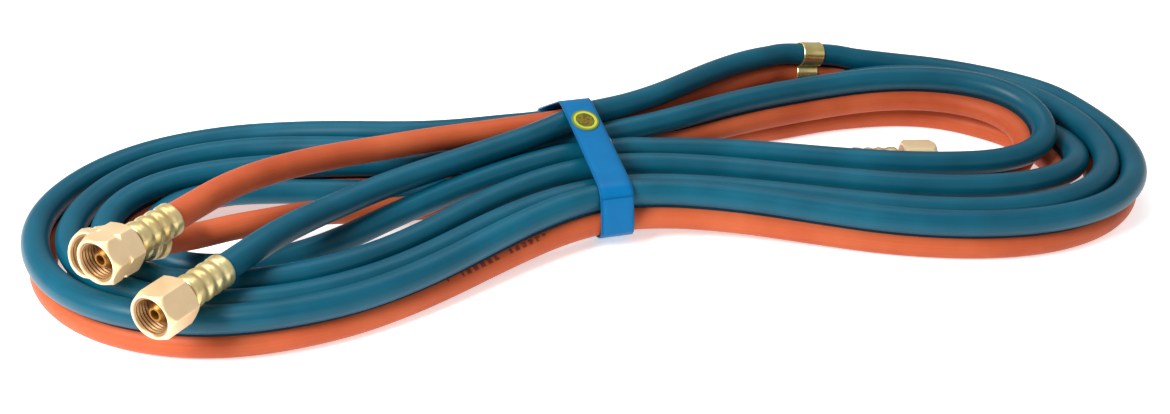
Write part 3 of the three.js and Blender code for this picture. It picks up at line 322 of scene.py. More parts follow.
22450,3510,2875, 22592,3213,2789, 22699,2907,2698, 22768,2594,2604,
22798,2277,2512, 22787,1960,2423, 22734,1646,2340, 22638,1341,2263,
22499,1051,2193, 22319,779,2129, 22103,529,2071, 21854,303,2019,
21577,103,1974, 21278,-73,1934, 20960,-225,1902, 20627,-354,1876,
20281,-462,1856, 19924,-550,1840, 19559,-619,1828, 19187,-671,1821,
18809,-706,1818, 18427,-727,1818, 18042,-734,1821, 17654,-729,1825,
17263,-711,1828, 16871,-682,1830, 16479,-643,1830, 16085,-594,1829,
15692,-538,1829, 15299,-474,1829, 14906,-404,1830, 14514,-327,1832,
14122,-246,1834, 13731,-160,1837, 13341,-70,1840, 12951,24,1844,
12562,121,1847, 12173,221,1852, 11785,322,1857, 11398,426,1863,
11011,530,1870, 10625,635,1877, 10238,740,1886, 9852,844,1895,
9465,946,1905, 9078,1047,1916, 8691,1145,1927, 8303,1240,1938,
7914,1331,1950, 7525,1418,1961, 7135,1501,1973, 6744,1579,1985,
6353,1652,1997, 5961,1719,2010, 5567,1780,2022, 5173,1835,2035,
4779,1883,2048, 4383,1925,2062, 3988,1960,2076, 3591,1988,2091,
3195,2009,2106, 2798,2022,2122, 2400,2031,2140, 2001,2049,2168,
1602,2058,2197, 1205,2046,2218, 810,2013,2229, 417,1967,2230,
23,1920,2230, -385,1871,2230, -765,1826,2229, -1159,1779,2229,
-1552,1730,2230, -1943,1669,2229, -2331,1587,2220, -2716,1481,2197,
-3098,1365,2165, -3481,1260,2134, -3862,1152,2102, -4241,1038,2067,
-4617,918,2031, -4992,791,1993, -5364,659,1955, -5734,522,1916,
-6101,379,1876, -6466,231,1836, -6828,78,1796, -7188,-79,1755,
-7545,-240,1714, -7900,-406,1673, -8252,-575,1630, -8601,-748,1587,
-8949,-923,1543, -9294,-1101,1498, -9637,-1281,1452, -9978,-1464,1406,
-10318,-1647,1358, -10655,-1833,1309, -10992,-2018,1259, -11327,-2204,1208,
-11663,-2388,1156, -11999,-2570,1104, -12336,-2748,1052, -12676,-2920,1001,
-13019,-3085,952, -13365,-3242,906, -13715,-3389,862, -14068,-3525,821,
-14425,-3651,783, -14785,-3764,749, -15147,-3866,718, -15512,-3955,690,
-15877,-4030,665, -16244,-4092,644, -16610,-4140,626, -16975,-4174,612,
-17337,-4193,602, -17697,-4197,596, -18052,-4185,592, -18401,-4158,591,
-18744,-4114,591, -19079,-4053,593, -19404,-3974,598, -19717,-3875,607,
-20015,-3756,622, -20298,-3616,644, -20560,-3454,674, -20800,-3271,711,
-21015,-3068,755, -21202,-2847,805, -21358,-2609,859, -21481,-2357,917,
-21570,-2094,977, -21622,-1823,1038, -21637,-1549,1099, -21614,-1274,1159,
-21555,-1003,1217, -21462,-739,1270, -21336,-484,1319, -21181,-241,1361,
-20997,-11,1395, -20789,204,1421, -20558,403,1439, -20307,586,1448,
-20038,751,1449, -19753,900,1443, -19454,1032,1431, -19143,1149,1414,
-18821,1253,1392, -18491,1343,1366, -18152,1421,1337, -17807,1488,1306,
-17456,1545,1273, -17099,1594,1238, -16737,1633,1203, -16372,1666,1168,
-16002,1692,1133, -15630,1711,1099, -15254,1726,1067, -14876,1736,1035,
-14496,1743,1005, -14113,1746,977, -13730,1745,949, -13345,1742,921,
-12958,1736,895, -12571,1729,868, -12183,1720,842, -11795,1710,817,
-11406,1701,793, -11016,1694,769, -10626,1688,747, -10235,1686,726,
-9845,1685,707, -9453,1687,690, -9062,1690,675, -8671,1694,662,
-8279,1699,651, -7888,1709,642, -7498,1729,637, -7109,1766,634,
-6723,1823,635, -6338,1898,638, -5955,1987,643, -5572,2085,650,
-5190,2183,658, -4805,2278,667, -4417,2366,678, -4028,2450,690,
-3637,2533,703, -3245,2614,717, -2852,2697,730, -2458,2779,742,
-2065,2862,751, -1671,2945,757, -1277,3029,759, -884,3113,758,
-491,3198,754, -99,3281,747, 293,3361,737, 684,3438,724,
1076,3512,711, 1467,3583,696, 1858,3650,683, 2249,3711,673,
2640,3765,668, 3032,3808,672, 3423,3837,684, 3816,3851,704,
4208,3846,728, 4600,3822,754, 4992,3780,781, 5382,3721,807,
5778,3652,832, 6166,3549,855, 6548,3420,875, 6925,3271,893,
7299,3107,908, 7671,2935,921, 8043,2760,932, 8416,2590,941,
8791,2429,948, 9169,2285,954, 9552,2162,957, 9942,2068,959,
10339,2009,960, 10737,1969,960, 11135,1929,960, 11533,1889,960,
11931,1849,960, 12329,1810,960, 12727,1770,960,
]).reshape(-1, 3) / 100
FUEL_LINE = np.array([
-19245,-7485,4980, -19031,-7148,4960, -18816,-6811,4940, -18601,-6474,4920,
-18387,-6137,4900, -18172,-5800,4880, -17957,-5463,4860, -17739,-5131,4837,
-17513,-4805,4810, -17278,-4486,4777, -17036,-4172,4740, -16785,-3864,4699,
-16528,-3562,4654, -16263,-3267,4606, -15992,-2976,4554, -15714,-2692,4499,
-15430,-2413,4442, -15140,-2140,4383, -14844,-1872,4322, -14543,-1610,4259,
-14237,-1353,4196, -13926,-1101,4131, -13611,-855,4066, -13292,-614,4000,
-12968,-378,3935, -12641,-146,3870, -12311,80,3806, -11978,301,3742,
-11642,518,3681, -11304,730,3621, -10964,937,3563, -10622,1139,3507,
-10278,1337,3454, -9933,1531,3405, -9555,1744,3352, -9174,1951,3299,
-8791,2152,3246, -8406,2346,3194, -8019,2534,3142, -7630,2714,3091,
-7240,2887,3043, -6849,3053,2999, -6458,3211,2960, -6065,3361,2925,
-5674,3505,2895, -5285,3645,2865, -4898,3782,2835, -4515,3918,2804,
-4136,4050,2775, -3760,4181,2746, -3386,4316,2718, -3015,4455,2691,
-2647,4596,2664, -2282,4742,2637, -1920,4893,2608, -1563,5048,2577,
-1209,5207,2543, -858,5370,2505, -511,5537,2465, -167,5707,2423,
174,5880,2378, 513,6054,2332, 851,6230,2285, 1187,6407,2238,
1521,6584,2192, 1856,6762,2147, 2189,6941,2104, 2523,7119,2063,
2857,7297,2025, 3192,7475,1990, 3527,7653,1959, 3863,7830,1932,
4200,8007,1908, 4538,8184,1889, 4876,8361,1872, 5215,8538,1859,
5555,8717,1849, 5894,8895,1841, 6234,9075,1836, 6573,9256,1833,
6912,9438,1833, 7251,9621,1836, 7588,9806,1840, 7925,9991,1844,
8261,10178,1844, 8596,10365,1840, 8930,10552,1830, 9264,10737,1815,
9598,10920,1795, 9933,11100,1770, 10268,11276,1743, 10597,11489,1723,
10926,11710,1703, 11262,11895,1673, 11609,12031,1631, 11964,12125,1580,
12324,12200,1524, 12687,12275,1468, 12935,12326,1429, 13415,12425,1355,
13778,12499,1299, 14142,12567,1243, 14509,12604,1181, 14883,12591,1109,
15263,12528,1031, 15646,12443,954, 16021,12386,888, 16395,12325,829,
16767,12252,776, 17138,12164,729, 17507,12064,689, 17874,11950,656,
18239,11823,631, 18600,11685,613, 18959,11535,602, 19315,11375,596,
19668,11205,593, 20018,11026,592, 20364,10837,591, 20706,10640,591,
21045,10434,590, 21379,10219,590, 21709,9996,591, 22035,9765,591,
22355,9526,592, 22670,9278,593, 22977,9021,593, 23276,8754,593,
23568,8478,593, 23852,8194,593, 24126,7901,594, 24391,7598,594,
24644,7286,594, 24883,6964,593, 25105,6630,592, 25309,6285,591,
25493,5930,591, 25659,5565,591, 25808,5194,590, 25942,4818,590,
26063,4437,591, 26169,4054,591, 26259,3667,591, 26333,3278,591,
26389,2886,591, 26427,2493,591, 26448,2100,591, 26451,1707,591,
26437,1314,591, 26406,924,591, 26357,536,591, 26293,151,591,
26211,-230,591, 26114,-606,591, 26000,-977,591, 25871,-1341,592,
25726,-1699,593, 25564,-2049,593, 25387,-2390,594, 25194,-2722,594,
24986,-3043,594, 24762,-3354,594, 24523,-3652,594, 24271,-3938,594,
24004,-4211,593, 23725,-4471,593, 23433,-4717,593, 23130,-4949,593,
22816,-5167,593, 22492,-5370,594, 22157,-5558,594, 21813,-5730,595,
21461,-5886,595, 21102,-6026,594, 20736,-6151,594, 20364,-6260,594,
19986,-6353,594, 19604,-6432,594, 19218,-6496,594, 18829,-6546,594,
18437,-6581,594, 18043,-6602,594, 17647,-6610,593, 17251,-6605,593,
16853,-6587,593, 16455,-6558,592, 16057,-6517,592, 15659,-6466,592,
15262,-6405,592, 14865,-6335,592, 14469,-6256,592, 14074,-6169,592,
13680,-6075,592, 13287,-5973,594, 12895,-5866,595, 12505,-5752,599,
12115,-5633,604, 11727,-5510,612, 11340,-5383,622, 10954,-5253,635,
10568,-5120,650, 10184,-4985,665, 9800,-4849,682, 9416,-4712,698,
9032,-4575,715, 8649,-4439,733, 8266,-4304,753, 7883,-4172,774,
7500,-4042,796, 7117,-3917,818, 6734,-3796,841, 6349,-3681,863,
5964,-3571,886, 5578,-3468,908, 5191,-3373,931, 4803,-3286,955,
4413,-3209,980, 4023,-3140,1005, 3632,-3082,1031, 3240,-3035,1058,
2848,-3000,1086, 2455,-2976,1113, 2062,-2965,1140, 1670,-2967,1165,
1278,-2982,1188, 888,-3011,1208, 499,-3052,1224, 111,-3108,1235,
-274,-3177,1241, -657,-3259,1242, -1037,-3355,1238, -1414,-3464,1229,
-1788,-3585,1214, -2158,-3718,1196, -2525,-3862,1174, -2887,-4018,1150,
-3246,-4183,1123, -3602,-4358,1096, -3954,-4541,1068, -4302,-4733,1040,
-4648,-4931,1013, -4991,-5136,987, -5331,-5346,962, -5670,-5560,938,
-6007,-5779,916, -6343,-6000,894, -6678,-6224,873, -7013,-6449,853,
-7349,-6674,833, -7685,-6899,814, -8022,-7123,796, -8361,-7345,780,
-8701,-7565,766, -9044,-7781,753, -9389,-7994,743, -9738,-8202,733,
-10089,-8404,724, -10445,-8599,716, -10803,-8788,708, -11166,-8969,700,
-11533,-9142,693, -11903,-9305,688, -12277,-9460,685, -12654,-9604,685,
-13034,-9738,686, -13417,-9860,687, -13803,-9970,686, -14192,-10067,684,
-14583,-10150,680, -14977,-10220,674, -15372,-10277,667, -15768,-10319,659,
-16165,-10346,651, -16563,-10359,644, -16960,-10358,637, -17356,-10341,631,
-17752,-10310,626, -18145,-10263,622, -18535,-10202,618, -18923,-10125,616,
-19307,-10034,615, -19686,-9927,615, -20061,-9806,614, -20430,-9671,614,
-20793,-9520,614, -21150,-9356,613, -21499,-9177,611, -21839,-8985,609,
-22172,-8780,607, -22495,-8561,604, -22809,-8329,602, -23112,-8086,599,
-23405,-7830,596, -23686,-7563,595, -23956,-7285,594, -24214,-6996,594,
-24459,-6697,595, -24690,-6389,594, -24909,-6071,594, -25113,-5745,594,
-25302,-5411,593, -25477,-5069,593, -25636,-4721,593, -25779,-4366,593,
-25907,-4006,594, -26018,-3641,595, -26112,-3272,596, -26189,-2900,597,
-26249,-2525,599, -26291,-2148,601, -26316,-1770,604, -26322,-1392,606,
-26311,-1015,609, -26281,-639,612, -26233,-265,616, -26167,106,619,
-26083,472,623, -25981,834,626, -25862,1190,630, -25725,1540,634,
-25571,1882,638, -25400,2217,641, -25213,2542,645, -25011,2858,649,
-24793,3164,653, -24560,3459,656, -24313,3743,660, -24052,4015,662,
-23779,4275,664, -23493,4521,666, -23196,4755,667, -22888,4975,667,
-22570,5182,667, -22242,5375,666, -21906,5554,665, -21561,5719,664,
-21209,5870,662, -20851,6007,660, -20486,6131,658, -20116,6241,657,
-19741,6338,658, -19360,6422,659, -18976,6493,660, -18587,6552,660,
-18194,6599,659, -17799,6635,657, -17401,6660,655, -17002,6675,654,
-16601,6680,653, -16200,6675,654, -15797,6663,655, -15394,6642,658,
-14990,6614,661, -14587,6580,663, -14183,6540,665, -13779,6495,666,
-13375,6446,665, -12972,6393,664, -12568,6337,661, -12165,6280,657,
-11762,6222,652, -11359,6164,646, -10957,6108,640, -10554,6053,634,
-10152,6001,627, -9749,5953,621, -9347,5908,616, -8944,5870,611,
-8542,5837,609, -8140,5813,608, -7738,5799,609, -7337,5796,613,
-6937,5806,619, -6538,5828,627, -6140,5863,636, -5743,5906,647,
-5348,5956,659, -4954,6011,672, -4561,6071,686, -4170,6138,701,
-3781,6220,715, -3398,6321,728, -3021,6446,740, -2653,6593,749,
-2290,6757,756, -1931,6929,759, -1572,7100,760, -1211,7265,757,
-848,7419,751, -481,7561,742, -112,7690,732, 259,7806,719,
635,7907,705, 1013,7996,691, 1395,8074,677, 1779,8143,663,
2165,8204,650, 2552,8260,638, 2941,8312,628, 3331,8360,620,
3722,8406,613, 4113,8450,607, 4505,8492,602, 4898,8534,599,
5291,8575,596, 5684,8618,594, 6078,8661,593, 6472,8706,592,
6867,8752,591, 7262,8802,591, 7658,8855,590, 8053,8913,590,
8449,8977,590, 8844,9048,590, 9238,9127,590, 9630,9213,590,
10020,9306,590, 10408,9404,590, 10795,9505,590, 11182,9605,590,
11568,9702,590, 11956,9790,590, 12345,9869,590, 12736,9936,590,
13129,9991,590, 13523,10037,590, 13918,10076,590, 14313,10109,590,
14707,10138,590, 15101,10162,590, 15494,10180,590, 15885,10190,590,
16275,10190,591, 16662,10179,592, 17047,10154,596, 17429,10115,603,
17809,10061,612, 18185,9993,623, 18558,9913,632, 18927,9818,640,
19290,9708,646, 19646,9582,651, 19996,9439,655, 20337,9282,659,
20670,9110,661, 20994,8925,662, 21309,8726,663, 21613,8513,665,
21908,8288,669, 22193,8051,674, 22470,7805,678, 22739,7550,681,
22999,7287,683, 23251,7016,684, 23493,6737,683, 23723,6449,680,
23938,6151,678, 24134,5843,678, 24311,5523,681, 24468,5194,690,
24608,4857,703, 24734,4515,718, 24847,4168,733, 24947,3818,745,
25032,3465,755, 25101,3108,763, 25153,2749,767, 25187,2388,765,
25203,2025,758, 25202,1663,746, 25184,1301,731, 25147,940,715,
25093,583,700, 25022,228,688, 24934,-122,679, 24828,-467,673,
24705,-806,667, 24564,-1139,663, 24407,-1463,659, 24233,-1778,656,
24043,-2084,651, 23836,-2379,647, 23613,-2662,641, 23376,-2933,636,
23123,-3191,631, 22857,-3435,625, 22578,-3665,620, 22286,-3880,615,
21983,-4080,611, 21669,-4265,607, 21345,-4434,603, 21012,-4587,600,
20671,-4724,598, 20323,-4845,596, 19968,-4951,594, 19608,-5041,593,
19243,-5115,593, 18873,-5175,592, 18500,-5220,592, 18124,-5252,592,
17745,-5270,593, 17363,-5276,593, 16980,-5268,594, 16595,-5248,594,
16209,-5216,594, 15822,-5173,593, 15436,-5119,593, 15049,-5055,593,
14663,-4982,592, 14277,-4901,592, 13892,-4812,592, 13508,-4715,592,
13124,-4612,592, 12742,-4502,592, 12360,-4388,592, 11978,-4269,592,
11598,-4145,592, 11217,-4018,591, 10838,-3889,591, 10458,-3757,591,
10078,-3624,591, 9698,-3490,591, 9319,-3357,592, 8940,-3224,593,
8561,-3092,594, 8183,-2962,595, 7804,-2835,597, 7424,-2711,600,
7044,-2591,604, 6664,-2476,609, 6283,-2365,616, 5901,-2260,623,
5518,-2162,632, 5135,-2071,641, 4751,-1987,652, 4366,-1912,664,
3980,-1845,677, 3593,-1788,691, 3207,-1741,706, 2819,-1705,721,
2432,-1679,737, 2045,-1665,752, 1658,-1663,767, 1272,-1672,780,
887,-1694,791, 502,-1728,800, 120,-1775,806, -261,-1834,809,
-639,-1906,810, -1015,-1989,808, -1389,-2085,805, -1759,-2192,800,
-2126,-2310,793, -2490,-2440,784, -2851,-2580,773, -3208,-2730,762,
-3561,-2890,749, -3911,-3059,736, -4258,-3236,723, -4602,-3420,710,
-4943,-3611,698, -5281,-3808,687, -5616,-4010,676, -5950,-4217,666,
-6282,-4427,657, -6613,-4641,649, -6943,-4856,641, -7272,-5073,633,
-7601,-5291,626, -7931,-5509,619, -8262,-5725,613, -8593,-5940,607,
-8927,-6153,602, -9262,-6363,598, -9598,-6569,596, -9937,-6772,594,
-10278,-6971,593, -10620,-7165,592, -10965,-7355,591, -11312,-7539,591,
-11662,-7717,591, -12014,-7887,591, -12369,-8047,591, -12727,-8198,592,
-13089,-8337,592, -13454,-8465,592, -13822,-8581,592, -14193,-8683,591,
-14566,-8772,591, -14942,-8847,591, -15320,-8907,591, -15699,-8952,591,
-16079,-8981,591, -16459,-8995,591, -16838,-8993,591, -17217,-8975,591,
-17594,-8942,591, -17969,-8893,591, -18340,-8828,591, -18709,-8749,591,
-19073,-8654,592, -19432,-8544,592, -19785,-8418,593, -20132,-8278,593,
-20472,-8122,593, -20804,-7950,593, -21127,-7764,593, -21440,-7564,593,
-21742,-7349,593, -22034,-7121,593, -22315,-6879,593, -22583,-6626,593,
-22838,-6361,593, -23080,-6084,593, -23307,-5796,594, -23519,-5498,594,
-23715,-5191,595, -23893,-4874,595, -24055,-4549,595, -24199,-4217,595,
-24324,-3879,596, -24431,-3535,599, -24519,-3187,603, -24587,-2836,608,
-24636,-2482,615, -24665,-2127,622, -24673,-1771,630, -24661,-1415,639,
-24629,-1061,648, -24576,-710,657, -24504,-363,667, -24411,-20,677,
-24298,316,688, -24166,646,698, -24014,968,709, -23845,1280,720,
-23657,1583,730, -23452,1876,739, -23231,2156,748, -22994,2425,755,
-22741,2680,761, -22475,2922,765, -22194,3150,768, -21902,3364,769,
-21597,3563,769, -21282,3748,766, -20957,3918,762, -20624,4072,756,
-20282,4213,749, -19932,4338,740, -19577,4450,731, -19215,4548,722,
-18848,4633,716, -18475,4706,710, -18098,4766,703, -17717,4815,695,
-17332,4852,686, -16944,4880,675, -16552,4898,663, -16158,4908,651,
-15762,4909,638, -15364,4904,627, -14965,4892,617, -14564,4875,608,
-14163,4853,602, -13762,4827,598, -13361,4798,596, -12959,4767,595,
-12557,4735,596, -12155,4703,598, -11753,4671,600, -11351,4640,602,
-10948,4610,604, -10546,4583,608, -10144,4559,612, -9741,4538,617,
-9339,4521,624, -8937,4509,633, -8535,4500,643, -8133,4497,653,
-7732,4502,660, -7332,4515,663, -6932,4538,660, -6532,4570,655,
-6134,4610,651, -5737,4657,651, -5341,4708,657, -4946,4763,667,
-4554,4822,681, -4164,4883,695, -3776,4949,709, -3391,5017,723,
-3008,5086,735, -2628,5149,746, -2247,5203,753, -1866,5246,758,
-1482,5279,760, -1094,5307,758, -704,5334,753, -311,5366,745,
83,5406,735, 478,5455,722, 872,5510,708, 1266,5570,694,
1659,5632,679, 2052,5692,665, 2445,5749,652, 2838,5804,640,
3232,5855,629, 3625,5904,621, 4018,5950,613, 4411,5995,607,
4804,6038,603, 5196,6081,599, 5588,6124,596, 5980,6168,594,
6370,6212,593, 6761,6257,592, 7150,6303,591, 7539,6349,591,
7926,6398,590, 8312,6449,590, 8696,6505,590, 9079,6566,590,
9459,6634,590, 9837,6708,590, 10213,6791,590, 10586,6880,590,
10957,6974,590, 11326,7072,591, 11694,7169,591, 12061,7263,591,
12429,7349,591, 12798,7425,591, 13167,7490,591, 13537,7543,592,
13907,7587,592, 14276,7622,592, 14644,7652,592, 15011,7677,592,
15376,7695,592, 15740,7706,592, 16103,7707,592, 16463,7697,593,
16821,7674,593, 17176,7637,593, 17528,7584,593, 17875,7516,593,
18217,7431,593, 18552,7329,593, 18879,7210,593, 19198,7072,594,
19505,6916,594, 19801,6741,594, 20085,6551,594, 20357,6347,594,
20617,6131,594, 20869,5906,594, 21112,5674,595, 21348,5437,597,
21575,5195,600, 21791,4946,603, 21991,4689,605, 22172,4421,605,
22332,4142,602, 22476,3855,598, 22606,3563,595, 22726,3268,593,
22834,2971,592, 22928,2671,592, 23008,2370,592, 23072,2066,593,
23117,1761,593, 23145,1455,593, 23155,1150,594, 23147,846,596,
23120,544,600, 23072,246,605, 23003,-46,609, 22910,-332,612,
22793,-609,613, 22653,-875,613, 22491,-1129,611, 22306,-1370,608,
22102,-1597,605, 21879,-1808,602, 21638,-2003,599, 21382,-2182,596,
21112,-2344,594, 20829,-2490,593, 20533,-2619,592, 20228,-2732,592,
19913,-2829,592, 19590,-2911,593, 19259,-2977,593, 18922,-3029,593,
18578,-3066,593, 18230,-3089,593, 17877,-3099,592, 17520,-3096,592,
17160,-3081,591, 16797,-3055,591, 16431,-3017,591, 16063,-2970,591,
15693,-2914,592, 15321,-2848,594, 14948,-2775,597, 14572,-2693,599,
14196,-2604,600, 13818,-2508,600, 13439,-2406,599, 13059,-2299,598,
12679,-2187,597, 12298,-2071,596, 11916,-1952,595, 11534,-1830,595,
11151,-1705,594, 10768,-1579,594, 10384,-1452,594, 9999,-1324,593,
9613,-1197,592, 9226,-1070,592, 8838,-945,593, 8449,-821,596,
8059,-701,601, 7669,-583,609, 7279,-470,619, 6888,-362,631,
6497,-259,645, 6105,-162,659, 5712,-71,674, 5319,13,690,
4924,90,707, 4529,158,725, 4134,218,745, 3737,269,765,
3341,310,786, 2944,342,809, 2547,363,831, 2150,373,854,
1754,372,876, 1358,360,897, 964,336,917, 570,300,933,
179,252,947, -211,193,956, -599,121,962, -984,37,963,
-1367,-58,960, -1746,-166,953, -2122,-284,942, -2495,-414,928,
-2863,-555,912, -3229,-706,894, -3590,-867,875, -3947,-1037,855,
-4300,-1217,835, -4650,-1404,815, -4996,-1599,795, -5338,-1802,776,
-5677,-2010,757, -6013,-2224,739, -6346,-2444,722, -6677,-2667,705,
-7006,-2894,689, -7333,-3123,673, -7659,-3355,659, -7985,-3587,645,
-8309,-3820,631, -8634,-4053,619, -8960,-4284,609, -9286,-4514,601,
-9614,-4741,596, -9943,-4965,593, -10275,-5184,591, -10608,-5398,591,
-10943,-5606,592, -11281,-5807,593, -11622,-6000,594, -11966,-6184,596,
-12312,-6359,597, -12662,-6523,598, -13014,-6677,598, -13369,-6818,597,
-13727,-6947,595, -14086,-7062,594, -14448,-7165,592, -14811,-7253,592,
-15175,-7327,592, -15540,-7386,592, -15906,-7429,592, -16272,-7456,592,
-16636,-7467,592, -17000,-7460,592, -17360,-7437,592, -17718,-7396,592,
-18072,-7338,591, -18421,-7263,591, -18765,-7171,591, -19102,-7063,591,
-19431,-6938,591, -19753,-6796,591, -20065,-6639,591, -20367,-6467,591,
-20659,-6279,591, -20938,-6077,591, -21205,-5861,591, -21458,-5632,592,
-21696,-5389,593, -21919,-5133,596, -22124,-4866,601, -22312,-4588,609,
-22480,-4299,619, -22628,-4001,632, -22754,-3695,646, -22858,-3381,661,
-22938,-3061,678, -22994,-2737,696, -23025,-2410,715, -23031,-2082,735,
-23012,-1754,755, -22966,-1429,775, -22895,-1107,794, -22798,-791,812,
-22675,-483,827, -22527,-184,840, -22355,104,850, -22159,379,857,
-21941,640,860, -21701,886,859, -21443,1116,856, -21167,1331,849,
-20876,1530,839, -20571,1713,827, -20254,1881,814, -19925,2035,799,
-19587,2176,784, -19240,2302,769, -18885,2417,753, -18523,2519,738,
-18156,2609,723, -17782,2689,708, -17404,2759,694, -17021,2820,680,
-16635,2872,668, -16246,2917,656, -15853,2954,645, -15458,2986,634,
-15061,3012,625, -14661,3033,617, -14260,3051,610, -13857,3065,604,
-13453,3076,599, -13048,3085,596, -12642,3092,593, -12235,3098,592,
-11828,3104,591, -11419,3109,591, -11011,3116,591, -10602,3124,591,
-10193,3133,593, -9783,3143,595, -9374,3155,600, -8965,3169,608,
-8556,3183,620, -8147,3199,638, -7738,3217,660, -7331,3238,687,
-6923,3265,716, -6517,3299,745, -6112,3343,773, -5707,3397,801,
-5304,3459,830, -4903,3526,863, -4502,3597,899, -4101,3671,936,
-3701,3746,972, -3301,3823,1006, -2899,3900,1041, -2497,3976,1080,
-2095,4046,1128, -1692,4111,1185, -1289,4172,1248, -886,4229,1308,
-482,4287,1360, -77,4346,1398, 328,4408,1420, 734,4472,1430,
1140,4539,1429, 1545,4607,1422, 1951,4673,1411, 2358,4737,1400,
2765,4797,1389, 3172,4853,1380, 3580,4906,1374, 3987,4960,1374,
4394,5016,1382, 4799,5077,1398, 5204,5143,1421, 5607,5214,1448,
6009,5289,1477, 6411,5367,1507, 6812,5448,1537, 7213,5531,1567,
7613,5617,1595, 8012,5704,1621, 8411,5793,1645, 8810,5883,1665,
9208,5973,1682, 9606,6063,1697, 10004,6150,1710, 10402,6235,1724,
10800,6315,1738, 11198,6391,1753, 11596,6463,1769, 11994,6528,1787,
12392,6588,1806, 12789,6640,1828, 13186,6685,1851, 13581,6722,1876,
13975,6749,1900, 14366,6768,1925, 14756,6775,1947, 15142,6773,1969,
15527,6759,1989, 15907,6734,2007, 16284,6698,2025, 16657,6650,2041,
17024,6590,2054, 17385,6519,2065, 17739,6435,2073, 18086,6339,2079,
18425,6230,2082, 18755,6110,2082, 19076,5977,2080, 19387,5832,2076,
19686,5674,2071, 19973,5505,2063, 20248,5323,2052, 20508,5130,2037,
20754,4926,2019, 20983,4711,1996, 21194,4485,1968, 21387,4249,1934,
21559,4004,1894, 21708,3750,1848, 21833,3489,1795, 21931,3223,1736,
22001,2952,1669, 22042,2680,1595, 22053,2408,1517, 22034,2140,1436,
21985,1877,1351, 21906,1622,1265, 21798,1378,1178, 21663,1145,1092,
21502,926,1010, 21319,720,934, 21115,528,865, 20891,349,806,
20650,186,757, 20392,39,715, 20120,-92,680, 19835,-206,650,
19539,-303,627, 19233,-385,610, 18918,-451,601, 18595,-503,595,
18266,-541,593, 17931,-565,591, 17591,-576,591, 17246,-576,590,
16897,-564,590, 16545,-541,590, 16190,-509,590, 15832,-468,591,
15472,-418,592, 15109,-361,593, 14744,-296,594, 14378,-225,595,
14009,-148,595, 13640,-67,597, 13269,20,598, 12896,110,600,
12523,202,603, 12148,297,606, 11772,394,611, 11394,491,617,
11016,589,623, 10636,687,631, 10255,783,639, 9873,878,648,
9489,971,658, 9104,1061,668, 8718,1149,679, 8331,1232,691,
7943,1311,702, 7553,1386,714, 7162,1455,727, 6770,1519,739,
6377,1578,752, 5983,1630,765, 5589,1676,779, 5193,1716,793,
4797,1749,808, 4400,1775,823, 4003,1794,839, 3606,1807,857,
3208,1813,874, 2810,1812,893, 2412,1807,913, 2013,1808,941,
1614,1800,967, 1216,1777,984, 820,1739,990, 425,1692,990,
30,1645,990, -352,1599,990, -762,1550,989, -1158,1503,989,
-1553,1454,985, -1949,1399,966, -2343,1334,929, -2736,1262,879,
-3129,1189,830, -3523,1124,799, -3917,1058,768, -4312,991,738,
-4706,923,710, -5100,852,684, -5493,780,661, -5887,706,641,
-6281,632,626, -6675,563,614, -7070,500,606, -7467,443,602,
-7863,390,599, -8260,336,601, -8656,279,606, -9051,218,616,
-9445,154,632, -9838,86,654, -10231,15,683, -10621,-60,720,
-11020,-133,751, -11413,-217,802, -11800,-310,868, -12184,-412,945,
-12563,-524,1029, -12940,-643,1113, -13316,-771,1195, -13690,-906,1269,
-14063,-1049,1332, -14436,-1198,1385, -14808,-1352,1431, -15179,-1510,1472,
-15548,-1672,1508, -15917,-1836,1544, -16283,-2001,1579, -16647,-2167,1617,
-17010,-2333,1657, -17374,-2504,1696, -17739,-2681,1732, -18107,-2868,1761,
-18465,-3073,1795, -18796,-3304,1847, -19079,-3569,1933, -19304,-3874,2063,
-19502,-4198,2214, -19707,-4516,2359, -19922,-4829,2497, -20136,-5141,2635,
-20342,-5459,2780,
]).reshape(-1, 3) / 100

HOSE_RADIUS = 6.03
# Indices into each centreline: first and last point of the bonded pair, then the two
# points round which the outer tail bends, the one nearer the coil first.
OXYGEN_MARKS = (96, 1114, 47, 24)
FUEL_MARKS = (98, 1118, 50, 26)
# Where each fitting starts and the way it points, away from its hose.
FITTINGS = {
    ("oxygen", "outer"): ((-172.295, -90.859, 33.600), (-0.53095, -0.84593, 0.05000)),
    ("fuel", "outer"): ((-192.451, -74.853, 49.800), (-0.53663, -0.84234, 0.05000)),
    ("oxygen", "inner"): ((127.276, 17.693, 9.600), (0.99502, -0.09970, 0.00000)),
    ("fuel", "inner"): ((-203.419, -54.592, 27.800), (-0.51966, -0.77949, 0.34977)),
}
# Clip centre, direction along the hoses, and vector from one hose centre to the other.
CLIPS = {
    "outer_split_clip": ((130.565, 121.956, 20.390), (0.96842, 0.19928, -0.14983),
                         (2.421, -2.597, 12.194)),
    "inner_split_clip": ((-3.685, 17.349, 16.096), (-0.99290, -0.11892, -0.00063),
                         (-0.333, 2.719, 12.401)),
}
# The printed dashes on the fuel hose: start and end along it in metres, and place round it
# in turns.
DASHES = (0.5480, 0.6083, 0.358)


# -------------------------------------------------------------- path helpers
def unit(a):
    a = np.asarray(a, float)
    return a / max(np.linalg.norm(a), 1e-12)


def side_and_up(direction):
    """Two unit vectors square to a direction, the first of them level."""
    side = unit(np.cross(direction, [0, 0, 1]))
    return side, np.cross(side, direction)


def spline(points, step=2.0):
    """Catmull-Rom through the points, resampled at about the given step."""
    padded = np.vstack([2 * points[0] - points[1], points, 2 * points[-1] - points[-2]])
    out = [points[0]]
    for i in range(1, len(padded) - 2):
        a, b, c, d = padded[i - 1:i + 3]
        count = max(1, int(round(np.linalg.norm(c - b) / step)))
        for k in range(1, count + 1):
            t = k / count
            out.append(0.5 * ((2 * b) + (c - a) * t + (2 * a - 5 * b + 4 * c - d) * t * t
                              + (3 * b - a - 3 * c + d) * t ** 3))
    return np.array(out)


